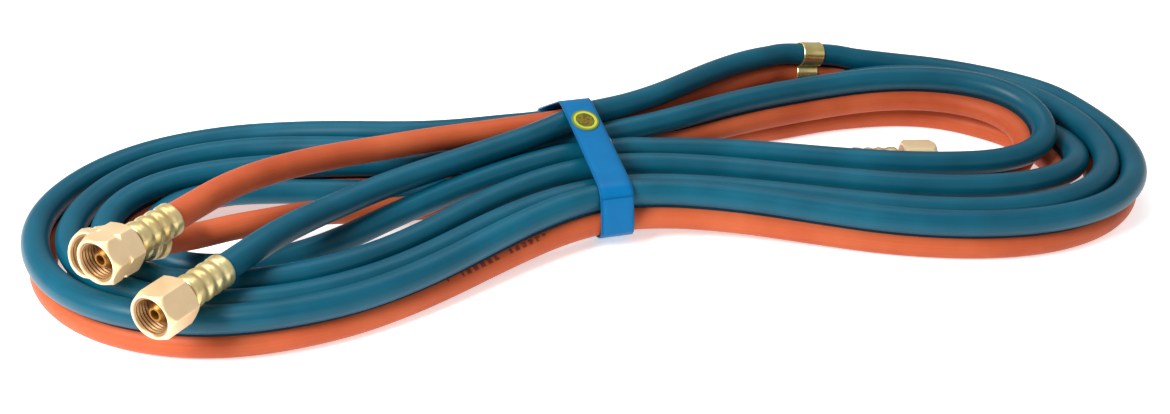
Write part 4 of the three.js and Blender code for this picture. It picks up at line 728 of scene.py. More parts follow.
def tangents(points):
    t = np.empty_like(points)
    t[1:-1] = points[2:] - points[:-2]
    t[0] = points[1] - points[0]
    t[-1] = points[-1] - points[-2]
    return t / np.linalg.norm(t, axis=1)[:, None]


class HosePath:
    """A whole hose, running into the sleeve at each end. One set of section frames serves
    all of it, so that neighbouring lengths share the same rings."""

    def __init__(self, line, outer_fitting, inner_fitting):
        outer, outward = np.array(outer_fitting[0]), unit(outer_fitting[1])
        inner, inward = np.array(inner_fitting[0]), unit(inner_fitting[1])
        self.points = spline(np.vstack([
            [outer + outward * reach for reach in (21, 14, 7)], line,
            [inner + inward * reach for reach in (7, 14, 21)]]))
        t = tangents(self.points)
        side = np.cross(t, np.array([0.0, 0.0, 1.0]))
        self.side = side / np.linalg.norm(side, axis=1)[:, None]
        self.up = np.cross(self.side, t)
        steps = np.linalg.norm(np.diff(self.points, axis=0), axis=1)
        self.length = np.r_[0, np.cumsum(steps)]
        self.last = len(self.points) - 1

    def ring_at(self, point):
        return int(np.argmin(np.linalg.norm(self.points - point, axis=1)))


# -------------------------------------------------------------- mesh helpers
def grid_faces(rows, columns, closed):
    """Quads between rows of vertices. Each row is a loop; closed joins last row to first."""
    faces = []
    for row in range(rows if closed else rows - 1):
        here, there = row * columns, (row + 1) % rows * columns
        for k in range(columns):
            after = (k + 1) % columns
            faces.append((here + k, here + after, there + after, there + k))
    return faces


def make(name, verts, faces, uvs=None):
    """A smooth object from vertices in mm, with one UV per vertex where given."""
    mesh = bpy.data.meshes.new(name)
    mesh.from_pydata((np.asarray(verts, float) * MM).tolist(), [], faces)
    mesh.update()
    if uvs is not None:
        layer = mesh.uv_layers.new(name="UVMap")
        corners = np.empty(len(mesh.loops), np.int32)
        mesh.loops.foreach_get("vertex_index", corners)
        layer.data.foreach_set("uv", np.asarray(uvs, np.float32)[corners].ravel())
    mesh.polygons.foreach_set("use_smooth", [True] * len(mesh.polygons))
    ob = bpy.data.objects.new(name, mesh)
    bpy.context.scene.collection.objects.link(ob)
    return ob


def face_outwards(ob):
    bm = bmesh.new()
    bm.from_mesh(ob.data)
    bmesh.ops.recalc_face_normals(bm, faces=bm.faces[:])
    bm.to_mesh(ob.data)
    bm.free()


def keep_crisp(ob, angle):
    """Mark edges sharper than the angle, in degrees."""
    bm = bmesh.new()
    bm.from_mesh(ob.data)
    for edge in bm.edges:
        if len(edge.link_faces) == 2 and edge.calc_face_angle(0.0) > math.radians(angle):
            edge.smooth = False
    bm.to_mesh(ob.data)
    bm.free()


def dress(ob, material, slot, *cad_nodes):
    """Give the object its material, and hide the CAD pieces it stands for, named in cad_nodes.
    The slot argument is not used.
    """
    ob.data.materials.append(material)
    if cad_nodes:
        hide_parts(*cad_nodes)


def turned(name, fitting, profile, sides, crisp_angle, reshape=None):
    """A closed profile of (along, radius) turned about a fitting's axis.
    reshape(row, along, radius, angle) may change the radius."""
    start, axis = np.array(fitting[0]), unit(fitting[1])
    side, up = side_and_up(axis)
    verts = []
    for row, (along, radius) in enumerate(profile):
        for k in range(sides):
            a = 2 * math.pi * k / sides
            r = reshape(row, along, radius, a) if reshape else radius
            verts.append(start + axis * along + r * (math.cos(a) * side + math.sin(a) * up))
    ob = make(name, verts, grid_faces(len(profile), sides, closed=True))
    face_outwards(ob)
    keep_crisp(ob, crisp_angle)
    return ob


# ------------------------------------------------------------ shader helpers
def srgb(*levels):
    """Linear colour from 0-255 sRGB levels."""
    def linear(level):
        level /= 255.0
        return level / 12.92 if level <= 0.04045 else ((level + 0.055) / 1.055) ** 2.4
    return tuple(linear(level) for level in levels)


class Shader:
    """A new node material, with short calls for adding nodes. Inputs are given as a dict
    of socket name or number to a value or another node's output."""

    def __init__(self, name):
        self.material = bpy.data.materials.new(name)
        self.material.use_nodes = True
        self.tree = self.material.node_tree

    def feed(self, node, inputs):
        for key, value in inputs.items():
            socket = node.inputs[key]
            if isinstance(value, bpy.types.NodeSocket):
                self.tree.links.new(value, socket)
            elif socket.type == "RGBA":
                socket.default_value = (*value, 1.0)
            else:
                socket.default_value = value

    def surface(self, inputs):
        self.feed(self.tree.nodes["Principled BSDF"], inputs)

    def add(self, kind, inputs, **settings):
        node = self.tree.nodes.new("ShaderNode" + kind)
        for key, value in settings.items():
            setattr(node, key, value)
        self.feed(node, inputs)
        return node

    def calc(self, operation, *values):
        return self.add("Math", dict(enumerate(values)), operation=operation).outputs[0]

    def plus(self, a, b):
        return self.calc("ADD", a, b)

    def minus(self, a, b):
        return self.calc("SUBTRACT", a, b)

    def times(self, a, b):
        return self.calc("MULTIPLY", a, b)

    def above(self, a, b):
        return self.calc("GREATER_THAN", a, b)

    def below(self, a, b):
        return self.calc("LESS_THAN", a, b)

    def vary(self, base, noise, amount):
        """A base value, moved up and down by a noise centred on 0.5."""
        return self.plus(base, self.times(self.minus(noise, 0.5), amount))

    def mix(self, factor, a, b):
        return self.add("Mix", {0: factor, 6: a, 7: b}, data_type="RGBA").outputs[2]

    def position(self):
        return self.add("TexCoord", {}).outputs["Object"]

    def uv(self):
        uv_map = self.add("UVMap", {})
        parts = self.add("SeparateXYZ", {0: uv_map.outputs[0]})
        return parts.outputs[0], parts.outputs[1]

    def combine(self, *parts):
        return self.add("CombineXYZ", dict(enumerate(parts))).outputs[0]

    def noise(self, vector, scale, detail, roughness=0.5):
        return self.add("TexNoise", {"Vector": vector, "Scale": scale, "Detail": detail,
                                     "Roughness": roughness}).outputs["Fac"]

    def ramp_between(self, value, low, high):
        return self.add("MapRange", {"Value": value, "From Min": low,
                                     "From Max": high}).outputs[0]

    def vector_math(self, operation, *vectors):
        return self.add("VectorMath", dict(enumerate(vectors)), operation=operation).outputs

    def bump(self, height, strength, distance):
        return self.add("Bump", {"Height": height, "Strength": strength,
                                 "Distance": distance}).outputs[0]


# ----------------------------------------------------------------- materials
def rubber(name, tones, roughness, specular, dashes=None):
    """Extruded rubber in (dark, mid, light) tones. U is metres along, V is turns round."""
    s = Shader(name)
    position = s.position()
    along, around = s.uv()
    mottle = s.noise(position, scale=26.0, detail=3.0, roughness=0.55)
    # lengthwise extrusion lines
    lines = s.noise(s.combine(s.times(along, 6.0), s.times(around, 60.0)),
                    scale=1.0, detail=4.0, roughness=0.6)
    pores = s.noise(position, scale=1400.0, detail=2.0)
    # cloth impression left by the curing wrap
    wrap = s.add("TexWave", {
        "Vector": s.combine(along, s.times(around, 0.04)),
        "Scale": 90.0, "Distortion": 1.0, "Detail": 1.0,
    }, wave_type="BANDS", bands_direction="X").outputs["Fac"]

    ramp = s.add("ValToRGB", {0: s.plus(s.times(mottle, 0.7), s.times(lines, 0.3))})
    dark, mid, light = tones
    stops = ramp.color_ramp.elements
    stops[0].position, stops[0].color = 0.3, (*dark, 1)
    stops[1].position, stops[1].color = 0.72, (*light, 1)
    stops.new(0.5).color = (*mid, 1)
    colour = ramp.outputs[0]

    if dashes is not None:
        start, end, place = dashes
        inside = s.times(s.above(along, start), s.below(along, end))
        from_start = s.minus(along, start)
        # 260 dashes a metre, broken into 38 groups a metre
        dash = s.above(s.calc("FRACT", s.times(from_start, 260.0)), 0.42)
        group = s.above(s.calc("FRACT", s.times(from_start, 38.0)), 0.22)
        in_row = s.below(s.calc("ABSOLUTE", s.minus(around, place)), 0.034)
        ink = s.times(s.times(inside, dash), s.times(group, in_row))
        wear = s.noise(position, scale=420.0, detail=2.0)
        ink = s.times(ink, s.above(wear, 0.42))
        colour = s.mix(s.times(ink, 0.72), colour, srgb(84, 28, 24))

    height = s.plus(s.times(lines, 0.6), s.times(pores, 0.25))
    height = s.plus(height, s.times(wrap, 0.10))
    s.surface({
        "Base Color": colour,
        "Roughness": s.vary(roughness, mottle, 0.16),
        "Specular IOR Level": specular,
        "Sheen Weight": 0.0,
        "Sheen Roughness": 0.4,
        "Normal": s.bump(height, strength=0.16, distance=0.00025),
    })
    return s.material


def brass(name, base, tarnish, roughness, axis=None, metallic=0.92, mouth=None):
    """Brass with tarnished patches and bright edges. An axis adds fine tool marks round it;
    mouth (point, radius in mm) darkens the metal inside that radius of the axis, as painted
    shade for the inside of a nut."""
    s = Shader(name)
    position = s.position()
    grain = s.noise(position, scale=190.0, detail=4.0, roughness=0.6)
    patches = s.noise(position, scale=60.0, detail=2.0)
    colour = s.mix(s.ramp_between(patches, 0.42, 0.75), base, tarnish)
    colour = s.mix(s.times(grain, 0.25), colour, tuple(c * 0.6 for c in tarnish))
    pointiness = s.add("NewGeometry", {}).outputs["Pointiness"]
    edge = s.ramp_between(pointiness, 0.52, 0.62)
    colour = s.mix(s.times(edge, 0.6), colour, tuple(min(1, c * 1.25) for c in base))
    if mouth is not None:
        # painted shade: inside the mouth radius the brass is mixed towards dark amber, standing
        # in for the shadow in the nut's bore and thread
        point, radius = mouth
        offset = s.vector_math("SUBTRACT", position, tuple(np.array(point) * MM))[0]
        across = s.vector_math("CROSS_PRODUCT", offset, tuple(unit(axis)))[0]
        reach = s.vector_math("LENGTH", across)["Value"]
        painted_bore_shade = s.ramp_between(reach, (radius + 0.25) * MM, (radius - 0.25) * MM)
        colour = s.mix(s.times(painted_bore_shade, 0.8), colour, srgb(132, 84, 30))
    if axis is None:
        height, strength = grain, 0.03
    else:
        along = s.vector_math("DOT_PRODUCT", position, tuple(unit(axis)))["Value"]
        height = s.noise(s.combine(s.times(along, 2600.0)),
                         scale=1.0, detail=3.0, roughness=0.7)
        strength = 0.18
    s.surface({
        "Base Color": colour,
        "Metallic": metallic,
        "Roughness": s.vary(roughness, grain, 0.22),
        "Normal": s.bump(height, strength, distance=0.00012),
    })
    return s.material


def strap_material():
    """Blue tape. U and V are metres along and across it."""
    s = Shader("strap_gloss")
    along, across = s.uv()
    threads = s.noise(s.combine(s.times(along, 12.0), s.times(across, 900.0)),
                      scale=1.0, detail=3.0, roughness=0.6)
    mottle = s.noise(s.position(), scale=60.0, detail=3.0)
    # woven ribs across the tape, 1.1 mm apart, as radians per metre
    ribs = s.calc("SINE", s.times(along, 6283.0 / 1.1))
    colour = s.mix(mottle, srgb(0, 84, 132), srgb(0, 102, 156))
    edge = s.above(s.calc("ABSOLUTE", across), 0.0068)
    height = s.plus(s.times(threads, 0.7), s.times(ribs, 0.12))
    s.surface({
        "Base Color": s.mix(s.times(edge, 0.35), colour, srgb(0, 58, 98)),
        "Roughness": 0.36,
        "Specular IOR Level": 0.10,
        "Coat Weight": 0.03,
        "Coat Roughness": 0.18,
        "Normal": s.bump(height, strength=0.25, distance=0.0002),
    })
    return s.material


def label_material():
    """Yellow-green field, warm centre patch, thin rim. UV runs from -1 to 1."""
    s = Shader("label_print")
    x, y = s.uv()
    radius = s.calc("SQRT", s.plus(s.times(x, x), s.times(y, y)))
    speckle = s.noise(s.position(), scale=500.0, detail=2.0)
    ragged = s.vary(radius, speckle, 0.12)
    centre = s.below(ragged, 0.60)
    spots = s.times(centre, s.above(speckle, 0.54))
    ring = s.times(s.above(ragged, 0.60), s.below(ragged, 0.68))
    colour = s.mix(centre, srgb(168, 172, 50), srgb(104, 92, 14))
    colour = s.mix(s.times(spots, 0.7), colour, srgb(66, 44, 10))
    colour = s.mix(ring, colour, srgb(70, 88, 28))
    s.surface({
        "Base Color": s.mix(s.above(radius, 0.86), colour, srgb(96, 112, 36)),
        "Roughness": 0.45,
        "Specular IOR Level": 0.15,
        "Coat Weight": 0.03,
    })
    return s.material


# --------------------------------------------------------------------- hoses
def tube(name, path, first, last, sides=32, zero_length=0.0):
    """A length of hose between two rings of a path, capped where the path ends.
    UV: metres along from zero_length, turns round."""
    angles = 2 * np.pi * np.arange(sides) / sides
    cos, sin = np.cos(angles)[:, None], np.sin(angles)[:, None]
    verts = []
    for i in range(first, last + 1):
        verts.extend(path.points[i] + HOSE_RADIUS * (cos * path.side[i] + sin * path.up[i]))
    rows = last - first + 1
    faces = grid_faces(rows, sides, closed=False)
    if first == 0:
        faces.append(tuple(reversed(range(sides))))
    if last == path.last:
        faces.append(tuple((rows - 1) * sides + k for k in range(sides)))
    ob = make(name, verts, faces)

    layer = ob.data.uv_layers.new(name="UVMap")
    uv = np.zeros((len(ob.data.loops), 2), np.float32)
    corner = 0
    for i in range(first, last):
        u0 = (path.length[i] - zero_length) * MM
        u1 = (path.length[i + 1] - zero_length) * MM
        for k in range(sides):
            v0, v1 = k / sides, (k + 1) / sides
            uv[corner:corner + 4] = ((u0, v0), (u0, v1), (u1, v1), (u1, v0))
            corner += 4
    layer.data.foreach_set("uv", uv.ravel())

    face = ob.data.polygons[0]
    if (face.center - Vector(tuple(path.points[first] * MM))).dot(face.normal) < 0:
        ob.data.flip_normals()
    return ob


def hose(gas, line, marks, coil_material, tail_material, slot):
    """All lengths of one hose: the coil, two lengths of outer tail and the inner tail."""
    path = HosePath(line, FITTINGS[gas, "outer"], FITTINGS[gas, "inner"])
    pair_start, pair_end, near_bend, far_bend = marks
    coil_start, coil_end = path.ring_at(line[pair_start]), path.ring_at(line[pair_end])
    tail_middle = path.ring_at(line[(near_bend + far_bend) // 2])

    coil = tube(gas + "_coil_skin", path, coil_start, coil_end,
                zero_length=path.length[path.ring_at(line[pair_start - 1])])
    dress(coil, coil_material, slot, gas + "_hose_coil")
    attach(coil, "root")

    root = tube(gas + "_tail_root_skin", path, tail_middle, coil_start)
    dress(root, tail_material, slot, gas + "_outer_tail_held", gas + "_outer_tail_mid")
    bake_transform(root)

    end = tube(gas + "_tail_end_skin", path, 0, tail_middle)
    dress(end, tail_material, slot, gas + "_outer_tail_end")
    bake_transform(end)

    inner = tube(gas + "_inner_tail_skin", path, coil_end, path.last)
    dress(inner, tail_material, slot, gas + "_inner_tail")
    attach(inner, "root")


def nearest_on_fuel(points, first, last):
    """The nearest fuel centreline point to each oxygen point, searched for near the last
    one found so that it stays on the same turn of the coil."""
    partners = []
    j = first
    for point in points:
        low, high = max(first, j - 4), min(last, j + 8)
        j = low + int(np.argmin(np.linalg.norm(FUEL_LINE[low:high] - point, axis=1)))
        before, best = FUEL_LINE[max(j - 1, 0)], FUEL_LINE[j]
        after = FUEL_LINE[min(j + 1, len(FUEL_LINE) - 1)]
        nearest = np.linalg.norm(best - point)
        for a, b in ((before, best), (best, after)):
            span = b - a
            part = float(np.clip(np.dot(point - a, span) / max(np.dot(span, span), 1e-9), 0, 1))
            foot = a + span * part
            if np.linalg.norm(foot - point) < nearest:
                best, nearest = foot, np.linalg.norm(foot - point)
        partners.append(best)
    return np.array(partners)


def bond_web(material):
    """The rubber that bonds the two hoses, a little waisted half way between them. Its
    near-black colour is painted shade for the crease between the hoses.
    """
    HALF_WAIST, HALF_EDGE = 2.2, 2.2 * 1.25
    INSET = 4.5    # from each hose centre
    oxygen = OXYGEN_LINE[OXYGEN_MARKS[0] - 1:OXYGEN_MARKS[1] + 1]
    fuel = nearest_on_fuel(oxygen, FUEL_MARKS[0] - 1, FUEL_MARKS[1] + 1)
    verts = []
    for here, there, along in zip(oxygen, fuel, tangents(oxygen)):
        across = unit(there - here)
        thick = unit(np.cross(along, across))
        a, b = here + across * INSET, there - across * INSET
        middle = (a + b) / 2
        verts += [a + thick * HALF_EDGE, middle + thick * HALF_WAIST, b + thick * HALF_EDGE,
                  b - thick * HALF_EDGE, middle - thick * HALF_WAIST, a - thick * HALF_EDGE]
    rows = len(oxygen)
    faces = grid_faces(rows, 6, closed=False)
    faces.append(tuple(range(6)))
    faces.append(tuple((rows - 1) * 6 + k for k in reversed(range(6))))
    uvs = [(i * 0.004, 0.1 * k) for i in range(rows) for k in range(6)]
    ob = make("bond_web", verts, faces, uvs)
    face_outwards(ob)
    dress(ob, material, "blue_rubber")
    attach(ob, "root")


blue_tones = srgb(0, 62, 80), srgb(1, 73, 93), srgb(4, 86, 108)
# painted shade: the web's tones are far darker than the hose blue, standing in for the shadowed
# crease between the two hoses
web_shade_tones = srgb(0, 30, 42), srgb(0, 36, 50), srgb(1, 44, 60)
orange_tones = srgb(158, 67, 37), srgb(173, 80, 47), srgb(187, 94, 58)
blue_rubber = rubber("blue_rubber_skin", blue_tones, roughness=0.38, specular=0.2)
web_shade_rubber = rubber("web_shade_rubber", web_shade_tones, roughness=0.7, specular=0.15)
orange_rubber = rubber("orange_rubber_skin", orange_tones, roughness=0.48, specular=0.12,
                       dashes=DASHES)
orange_plain = rubber("orange_rubber_tail", orange_tones, roughness=0.48, specular=0.12)

hose("oxygen", OXYGEN_LINE, OXYGEN_MARKS, blue_rubber, blue_rubber, "blue_rubber")
hose("fuel", FUEL_LINE, FUEL_MARKS, orange_rubber, orange_plain, "orange_rubber")
bond_web(web_shade_rubber)


# ------------------------------------------------------------------ fittings
# Profiles are (along, radius): along the fitting's axis, away from the hose.
def ferrule(name, fitting):
    """Crimped sleeve: rolled lip at the hose end, three squeezed rings, rounded shoulder."""
    BODY, GROOVE = 7.2, 6.62
    profile = [(0.0, 6.15), (0.0, 6.55), (0.12, 6.95), (0.5, 7.25), (1.2, 7.3), (2.2, 7.22)]
    for centre in (5.6, 11.0, 16.4):
        for k in range(-7, 8):
            dip = (BODY - GROOVE) * 0.5 * (1 + math.cos(math.pi * k / 7.0))
            profile.append((centre + k * 0.33, BODY - dip))
        profile.append((centre + 2.7, BODY + 0.04))
    profile += [(20.6, BODY), (21.6, BODY), (22.3, BODY - 0.2), (22.8, BODY - 0.7),
                (23.0, 6.2), (23.0, 3.8), (22.2, 3.7), (21.4, 3.8), (21.4, 6.1)]

    def jaw_flats(row, along, radius, angle):
        """Eight faint flats in the grooves, left by the crimping jaws."""
        if radius > 6.4 and 3 < along < 19.5:
            depth = (7.24 - radius) / 0.6
            return radius - 0.03 * max(0.0, depth) * (0.5 + 0.5 * math.cos(8 * angle))
        return radius
    return turned(name, fitting, profile, 72, 40, jaw_flats)


def stem(name, fitting):
    """Two barbs in the hose, a plain neck, a collar and a rounded nose."""
    profile = [(2.0, 1.9), (2.0, 2.2), (6, 2.8), (6.4, 2.35), (12, 2.8), (12.4, 2.35),
               (23.2, 2.35), (23.3, 4.5), (23.5, 4.68), (31.2, 4.68), (31.3, 6.6),
               (31.5, 6.85), (34.0, 6.85), (34.3, 6.7)]
    for k in range(9):
        t = k / 8.0
        profile.append((34.4 + 5.0 * t, 6.6 - 3.7 * t ** 1.15))
    profile += [(39.5, 2.6), (39.4, 2.05), (39.0, 1.9)]
    return turned(name, fitting, profile, 48, 30)


def nut(name, fitting, grooved):
    """Swivel nut: hexagon with turned chamfers, threaded mouth, plain bore at the back."""
    BACK, MOUTH = 25.5, 42.0
    HALF_FLATS, CORNER = 9.5, 10.85
    THREAD_RADIUS, THREAD_DEPTH, PITCH = 7.55, 0.5, 1.5
    THREAD_STEPS, THREAD_LENGTH = 44, 9.6

    stations = [BACK + step for step in (0, 0.1, 0.25, 0.45, 0.7, 0.95, 1.2, 2.5)]
    if grooved:
        stations += [33.0, 33.3, 33.45, 33.7, 34.3, 34.9, 35.15, 35.3, 35.6]
    stations.append(38.0)
    stations += [MOUTH - step for step in
                 (3.0, 2.4, 2.0, 1.7, 1.45, 1.2, 1.0, 0.8, 0.6, 0.4, 0.2, 0.08, 0)]
    outside = [(along, CORNER) for along in stations]    # cut to shape below
    lip = [(MOUTH, 8.75), (MOUTH - 0.12, 8.5), (MOUTH - 0.9, 7.9)]
    thread = [(MOUTH - 0.9 - k * (THREAD_LENGTH / THREAD_STEPS), THREAD_RADIUS)
              for k in range(THREAD_STEPS + 1)]
    bore = [(31.2, 7.9), (30.95, 7.9), (30.9, 5.3), (30.7, 5.1), (25.7, 5.1), (25.5, 5.3)]
    thread_row = len(outside) + len(lip)

    def shape(row, along, radius, angle):
        if row < len(outside):
            from_corner = math.degrees(angle) % 60.0
            flat = HALF_FLATS / math.cos(math.radians(from_corner - 30.0))
            back_chamfer = 9.25 + (along - BACK) * 1.75
            mouth_chamfer = 9.3 + (MOUTH - along) * 0.64
            result = min(flat, CORNER, back_chamfer, mouth_chamfer)
            if grooved and 33.25 < along < 35.35:
                result = min(result, 10.05 if 33.5 < along < 35.1 else 10.5)
            return result
        k = row - thread_row
        if 0 <= k < len(thread):
            fade = min(1.0, k / 3.0, (THREAD_STEPS - k) / 3.0)
            phase = (along / PITCH - angle / (2 * math.pi)) % 1.0
            tooth = abs(phase * 2 - 1)
            return THREAD_RADIUS + THREAD_DEPTH * (tooth - 0.5) * fade
        return radius
    return turned(name, fitting, outside + lip + thread + bore, 96, 24, shape)


for (gas, where), fitting in FITTINGS.items():
    start, axis = fitting
    end = f"{gas}_{where}"
    hose_body = gas + "_tail_end_body" if where == "outer" else "root"
    # each nut's brass carries painted shade inside 8.35 mm of its axis, in the mouth and bore
    nut_brass = brass(end + "_nut_brass", srgb(242, 214, 170), srgb(228, 194, 146),
                      roughness=0.42, axis=axis, metallic=0.62, mouth=(start, 8.35))
    ferrule_brass = brass(end + "_ferrule_brass", srgb(228, 212, 156), srgb(214, 186, 124),
                          roughness=0.32, metallic=0.75)
    # painted shade: the stem's brass is made dark to stand in for the shadow it sits in, inside
    # the nut and sleeve
    stem_shade_brass = brass(end + "_stem_shade_brass", srgb(150, 104, 46), srgb(118, 78, 34),
                       roughness=0.42, axis=axis)
    piece = ferrule(end + "_ferrule_skin", fitting)
    dress(piece, ferrule_brass, "pale_brass", end + "_ferrule")
    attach(piece, hose_body)
    piece = stem(end + "_stem_skin", fitting)
    dress(piece, stem_shade_brass, "brass", end + "_stem")
    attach(piece, hose_body)
    piece = nut(end + "_nut_skin", fitting, grooved=gas == "fuel")
    dress(piece, nut_brass, "brass", end + "_nut")
    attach(piece, end + "_nut_body")


# --------------------------------------------------------------------- clips
def clip(name, centre, along, pair, material):
    """Pressed band round both hoses, pinched at the waist, with a slight flare at each rim."""
    HALF_LENGTH, INNER_RADIUS, HALF_WAIST, ARC_STEPS = 6.5, 6.12, 3.0, 28
    along = unit(along)
    pair = np.array(pair) - along * np.dot(np.array(pair), along)
    half_gap = np.linalg.norm(pair) / 2
    across = unit(pair)
    thick = unit(np.cross(along, across))

    def outline(radius, waist):
        """An arc round each hose, each stopping where it meets the waist."""
        points = []
        sweep = math.pi - math.asin(waist / radius)
        for side in (1, -1):
            for k in range(ARC_STEPS + 1):
                a = -sweep + (k / ARC_STEPS) * 2 * sweep
                points.append((side * (half_gap + radius * math.cos(a)),
                               side * radius * math.sin(a)))
        return points

    # (along, height above the inner surface)
    L = HALF_LENGTH
    section = [(-L, 0.25), (-L, 0.75), (-L + 0.25, 1.0), (-L + 1.2, 0.98), (-L + 2.0, 0.85),
               (0, 0.82), (L - 2.0, 0.85), (L - 1.2, 0.98), (L - 0.25, 1.0), (L, 0.75),
               (L, 0.25), (L - 0.25, 0.05), (-L + 0.25, 0.05)]
    verts = []
    for offset, height in section:
        for x, y in outline(INNER_RADIUS + height, HALF_WAIST + height * 0.9):
            verts.append(np.array(centre) + across * x + thick * y + along * offset)
    columns = len(verts) // len(section)
    ob = make(name + "_skin", verts, grid_faces(len(section), columns, closed=True))
    face_outwards(ob)
    keep_crisp(ob, 40)
    dress(ob, material, "pale_brass", name)
    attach(ob, "root")


for name, (centre, along, pair) in CLIPS.items():
    clip_brass = brass(name + "_brass", srgb(226, 212, 150), srgb(190, 170, 100),
                       roughness=0.28)
    clip(name, centre, along, pair, clip_brass)

# ----------------------------------------------------------- strap and label
# The strap loops round the coil in an upright plane: ACROSS is its width direction, close
# to +X, and ALONG is level in the plane, close to +Y.
STRAP_CENTRE = np.array((-4.379, -23.774, -0.200))
STRAP_ACROSS = np.array((0.990982, 0.133998, 0.000000))
STRAP_ALONG = np.array((-0.133998, 0.990982, 0.000000))
# (along, height) round the inside of the loop, then down its loose end
STRAP_LOOP = [
    (58.97, 41.24), (-8.85, 31.46), (-11.28, 30.54), (-13.17, 28.77), (-14.24, 26.42),
    (-15.74, 12.74), (-15.32, 10.20), (-13.94, 8.02), (-11.83, 6.53), (3.44, 1.20),
    (54.17, 1.20), (98.43, 1.20), (111.99, 3.50), (114.33, 4.65), (116.02, 6.61),
    (116.77, 9.08), (116.49, 11.69), (115.21, 14.02), (113.15, 15.73), (65.54, 40.67),
    (64.17, 41.02),
]
STRAP_TAB = [(-15.17, 27.50), (-15.51, 26.76), (-17.05, 12.70), (-16.69, 10.50)]
LABEL_PLACE = (43.0679, 39.9561)    # along, height
LABEL_SLOPE = (0.9898, 0.1427)      # along, height
LABEL_HALF_WIDTH, LABEL_HALF_LENGTH = 6.6, 9.0


def strap_point(across, along, height):
    return (STRAP_CENTRE + STRAP_ACROSS * across + STRAP_ALONG * along
            + np.array([0, 0, height]))


def rounded_loop(polygon, offset, rounds=3):
    """An anticlockwise polygon moved outwards, then rounded by cutting its corners."""
    p = np.array(polygon, float)

    def normals(edges):
        n = np.stack([edges[:, 1], -edges[:, 0]], 1)
        return n / np.linalg.norm(n, axis=1)[:, None]
    before = normals(p - np.roll(p, 1, 0))
    out = before + normals(np.roll(p, -1, 0) - p)
    out /= np.linalg.norm(out, axis=1)[:, None]
    p = p + out * (offset / np.maximum(0.3, (out * before).sum(1)))[:, None]
    for _ in range(rounds):
        cut = []
        for a, b in zip(p, np.roll(p, -1, 0)):
            # a limit on the cut keeps long flats flat
            part = min(0.25, 1.6 / max(np.linalg.norm(b - a), 1e-6))
            cut += [a + (b - a) * part, b - (b - a) * part]
        p = np.array(cut)
    return p


def resample(line, step, closed):
    """Evenly spaced points on a line, and their distances along it."""
    path = np.vstack([line, line[:1]]) if closed else line
    length = np.r_[0, np.cumsum(np.linalg.norm(np.diff(path, axis=0), axis=1))]
    count = max(4, int(length[-1] / step))
    at = np.linspace(0, length[-1], count + 1)
    points = np.stack([np.interp(at, length, path[:, 0]), np.interp(at, length, path[:, 1])], 1)
    return (points[:-1] if closed else points), at


def tape(name, line, width, thickness, closed, material, body):
    """A flat tape that follows a line in the strap plane. UV: metres along and across."""
    EDGE = 0.35    # width of the rounded edge
    points, distances = resample(np.array(line, float), 1.6, closed)
    if closed:
        t = np.roll(points, -1, 0) - np.roll(points, 1, 0)
        t /= np.linalg.norm(t, axis=1)[:, None]
    else:
        t = tangents(points)
    outward = np.stack([t[:, 1], -t[:, 0]], 1)
    h = width / 2
    # (across, part of the thickness)
    section = [(-h, 0.5), (-h + EDGE * 0.3, 0.85), (-h + EDGE, 1.0), (-h * 0.5, 1.0), (0, 1.0),
               (h * 0.5, 1.0), (h - EDGE, 1.0), (h - EDGE * 0.3, 0.85), (h, 0.5),
               (h - EDGE * 0.3, 0.15), (h - EDGE, 0.0), (0, 0.0), (-h + EDGE, 0.0),
               (-h + EDGE * 0.3, 0.15)]
    verts, uvs = [], []
    for point, out, distance in zip(points, outward, distances):
        for across, part in section:
            along, height = point + out * (part * thickness)
            verts.append(strap_point(across, along, height))
            uvs.append((distance * MM, across * MM))
    rows, columns = len(points), len(section)
    faces = grid_faces(rows, columns, closed)
    if not closed:
        faces.append(tuple(range(columns)))
        faces.append(tuple((rows - 1) * columns + k for k in reversed(range(columns))))
    ob = make(name + "_skin", verts, faces, uvs)
    face_outwards(ob)
    keep_crisp(ob, 50)
    dress(ob, material, "strap", name)
    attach(ob, body)


def label(material):
    """Oval label with a raised rim, lying on the sloping top of the strap."""
    SIDES = 48
    # (part of the full size, height above the strap line)
    layers = [(1.0, 0.22), (1.0, 0.6), (0.965, 0.74), (0.90, 0.74), (0.86, 0.66), (0.5, 0.68),
              (0.12, 0.70)]
    centre = strap_point(0, *LABEL_PLACE)
    along = unit(strap_point(0, LABEL_PLACE[0] + LABEL_SLOPE[0],
                             LABEL_PLACE[1] + LABEL_SLOPE[1]) - centre)
    across = unit(STRAP_ACROSS)
    out = np.cross(across, along)
    verts, uvs = [], []
    for size, height in layers:
        for i in range(SIDES):
            a = 2 * math.pi * i / SIDES
            verts.append(centre + across * (LABEL_HALF_WIDTH * size * math.cos(a))
                         + along * (LABEL_HALF_LENGTH * size * math.sin(a)) + out * height)
            uvs.append((size * math.cos(a), size * math.sin(a)))
    faces = grid_faces(len(layers), SIDES, closed=False)
    faces.append(tuple(range(SIDES)))
    faces.append(tuple((len(layers) - 1) * SIDES + i for i in range(SIDES)))
    ob = make("strap_label_skin", verts, faces, uvs)
    face_outwards(ob)
    keep_crisp(ob, 40)
    dress(ob, material, "label", "strap_label")
    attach(ob, "root")


strap_blue = strap_material()
tape("strap_band", rounded_loop(STRAP_LOOP, offset=0.12), width=16.0, thickness=1.0,
     closed=True, material=strap_blue, body="root")
tape("strap_tab", STRAP_TAB, width=15.0, thickness=0.9, closed=False,
     material=strap_blue, body="strap_tab_body")
label(label_material())

# --------------------------------------------------------------------- stage
FLOOR_HALF = 6.0
FLOOR_DROP = 0.0002    # below the hoses, so that the surfaces do not touch
CAMERA_AT = (-80.718, -554.920, 311.988)
CAMERA_BACK = (-0.106589, -0.868100, 0.484810)
CAMERA_RIGHT = (0.992546, -0.121869, 0.000000)


def add_object(name, data):
    ob = bpy.data.objects.new(name, data)
    bpy.context.scene.collection.objects.link(ob)
    return ob


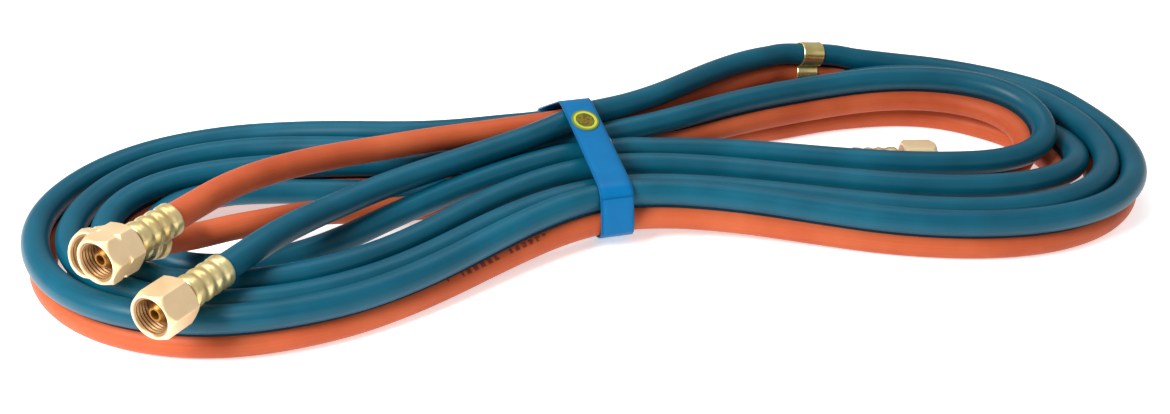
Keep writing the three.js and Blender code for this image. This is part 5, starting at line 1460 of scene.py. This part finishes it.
def add_floor():
    mesh = bpy.data.meshes.new("floor")
    h = FLOOR_HALF
    mesh.from_pydata([(-h, -h, 0), (h, -h, 0), (h, h, 0), (-h, h, 0)], [], [(0, 1, 2, 3)])
    floor = add_object("floor", mesh)
    floor.location = (0, 0, -FLOOR_DROP)
    s = Shader("floor_white")
    s.surface({
        "Base Color": (0.93, 0.93, 0.93),
        "Roughness": 0.9,
        "Specular IOR Level": 0.1,
        "Emission Color": (1, 1, 1),
        "Emission Strength": 0.5,
    })
    mesh.materials.append(s.material)


def add_world():
    world = bpy.data.worlds.new("studio")
    bpy.context.scene.world = world
    world.use_nodes = True
    background = world.node_tree.nodes["Background"]
    background.inputs["Color"].default_value = (1.0, 1.0, 1.0, 1)
    background.inputs["Strength"].default_value = 0.50


def add_light(name, location, target, size, power):
    light = bpy.data.lights.new(name, "AREA")
    light.shape = "RECTANGLE"
    light.size, light.size_y = size
    light.energy = power
    light.color = (1, 1, 1)
    ob = add_object(name, light)
    ob.location = location
    ob.rotation_mode = "QUATERNION"
    ob.rotation_quaternion = (Vector(target) - Vector(location)).to_track_quat("-Z", "Y")


def add_camera():
    camera = bpy.data.cameras.new("camera")
    ob = add_object("camera", camera)
    camera.sensor_width = 36.0
    camera.lens = 40.0
    camera.clip_start, camera.clip_end = 0.02, 30.0
    ob.location = Vector(CAMERA_AT) * MM
    back, right = Vector(CAMERA_BACK), Vector(CAMERA_RIGHT)
    ob.rotation_mode = "QUATERNION"
    axes = Matrix((right, back.cross(right), back)).transposed()
    ob.rotation_quaternion = axes.to_quaternion()
    bpy.context.scene.camera = ob


add_floor()
add_world()
add_light("key", (-0.68, -0.46, 0.68), target=(-0.12, -0.02, 0), size=(0.45, 0.45), power=14.5)
add_light("top", (-0.1, 0.35, 1.1), target=(0, 0, 0), size=(1.2, 0.7), power=5.5)
add_light("fill", (0.7, -0.9, 0.55), target=(0, 0, 0), size=(0.9, 0.6), power=1.0)
add_camera()
bpy.context.scene.view_settings.view_transform = "Standard"
bpy.context.scene.view_settings.look = "None"
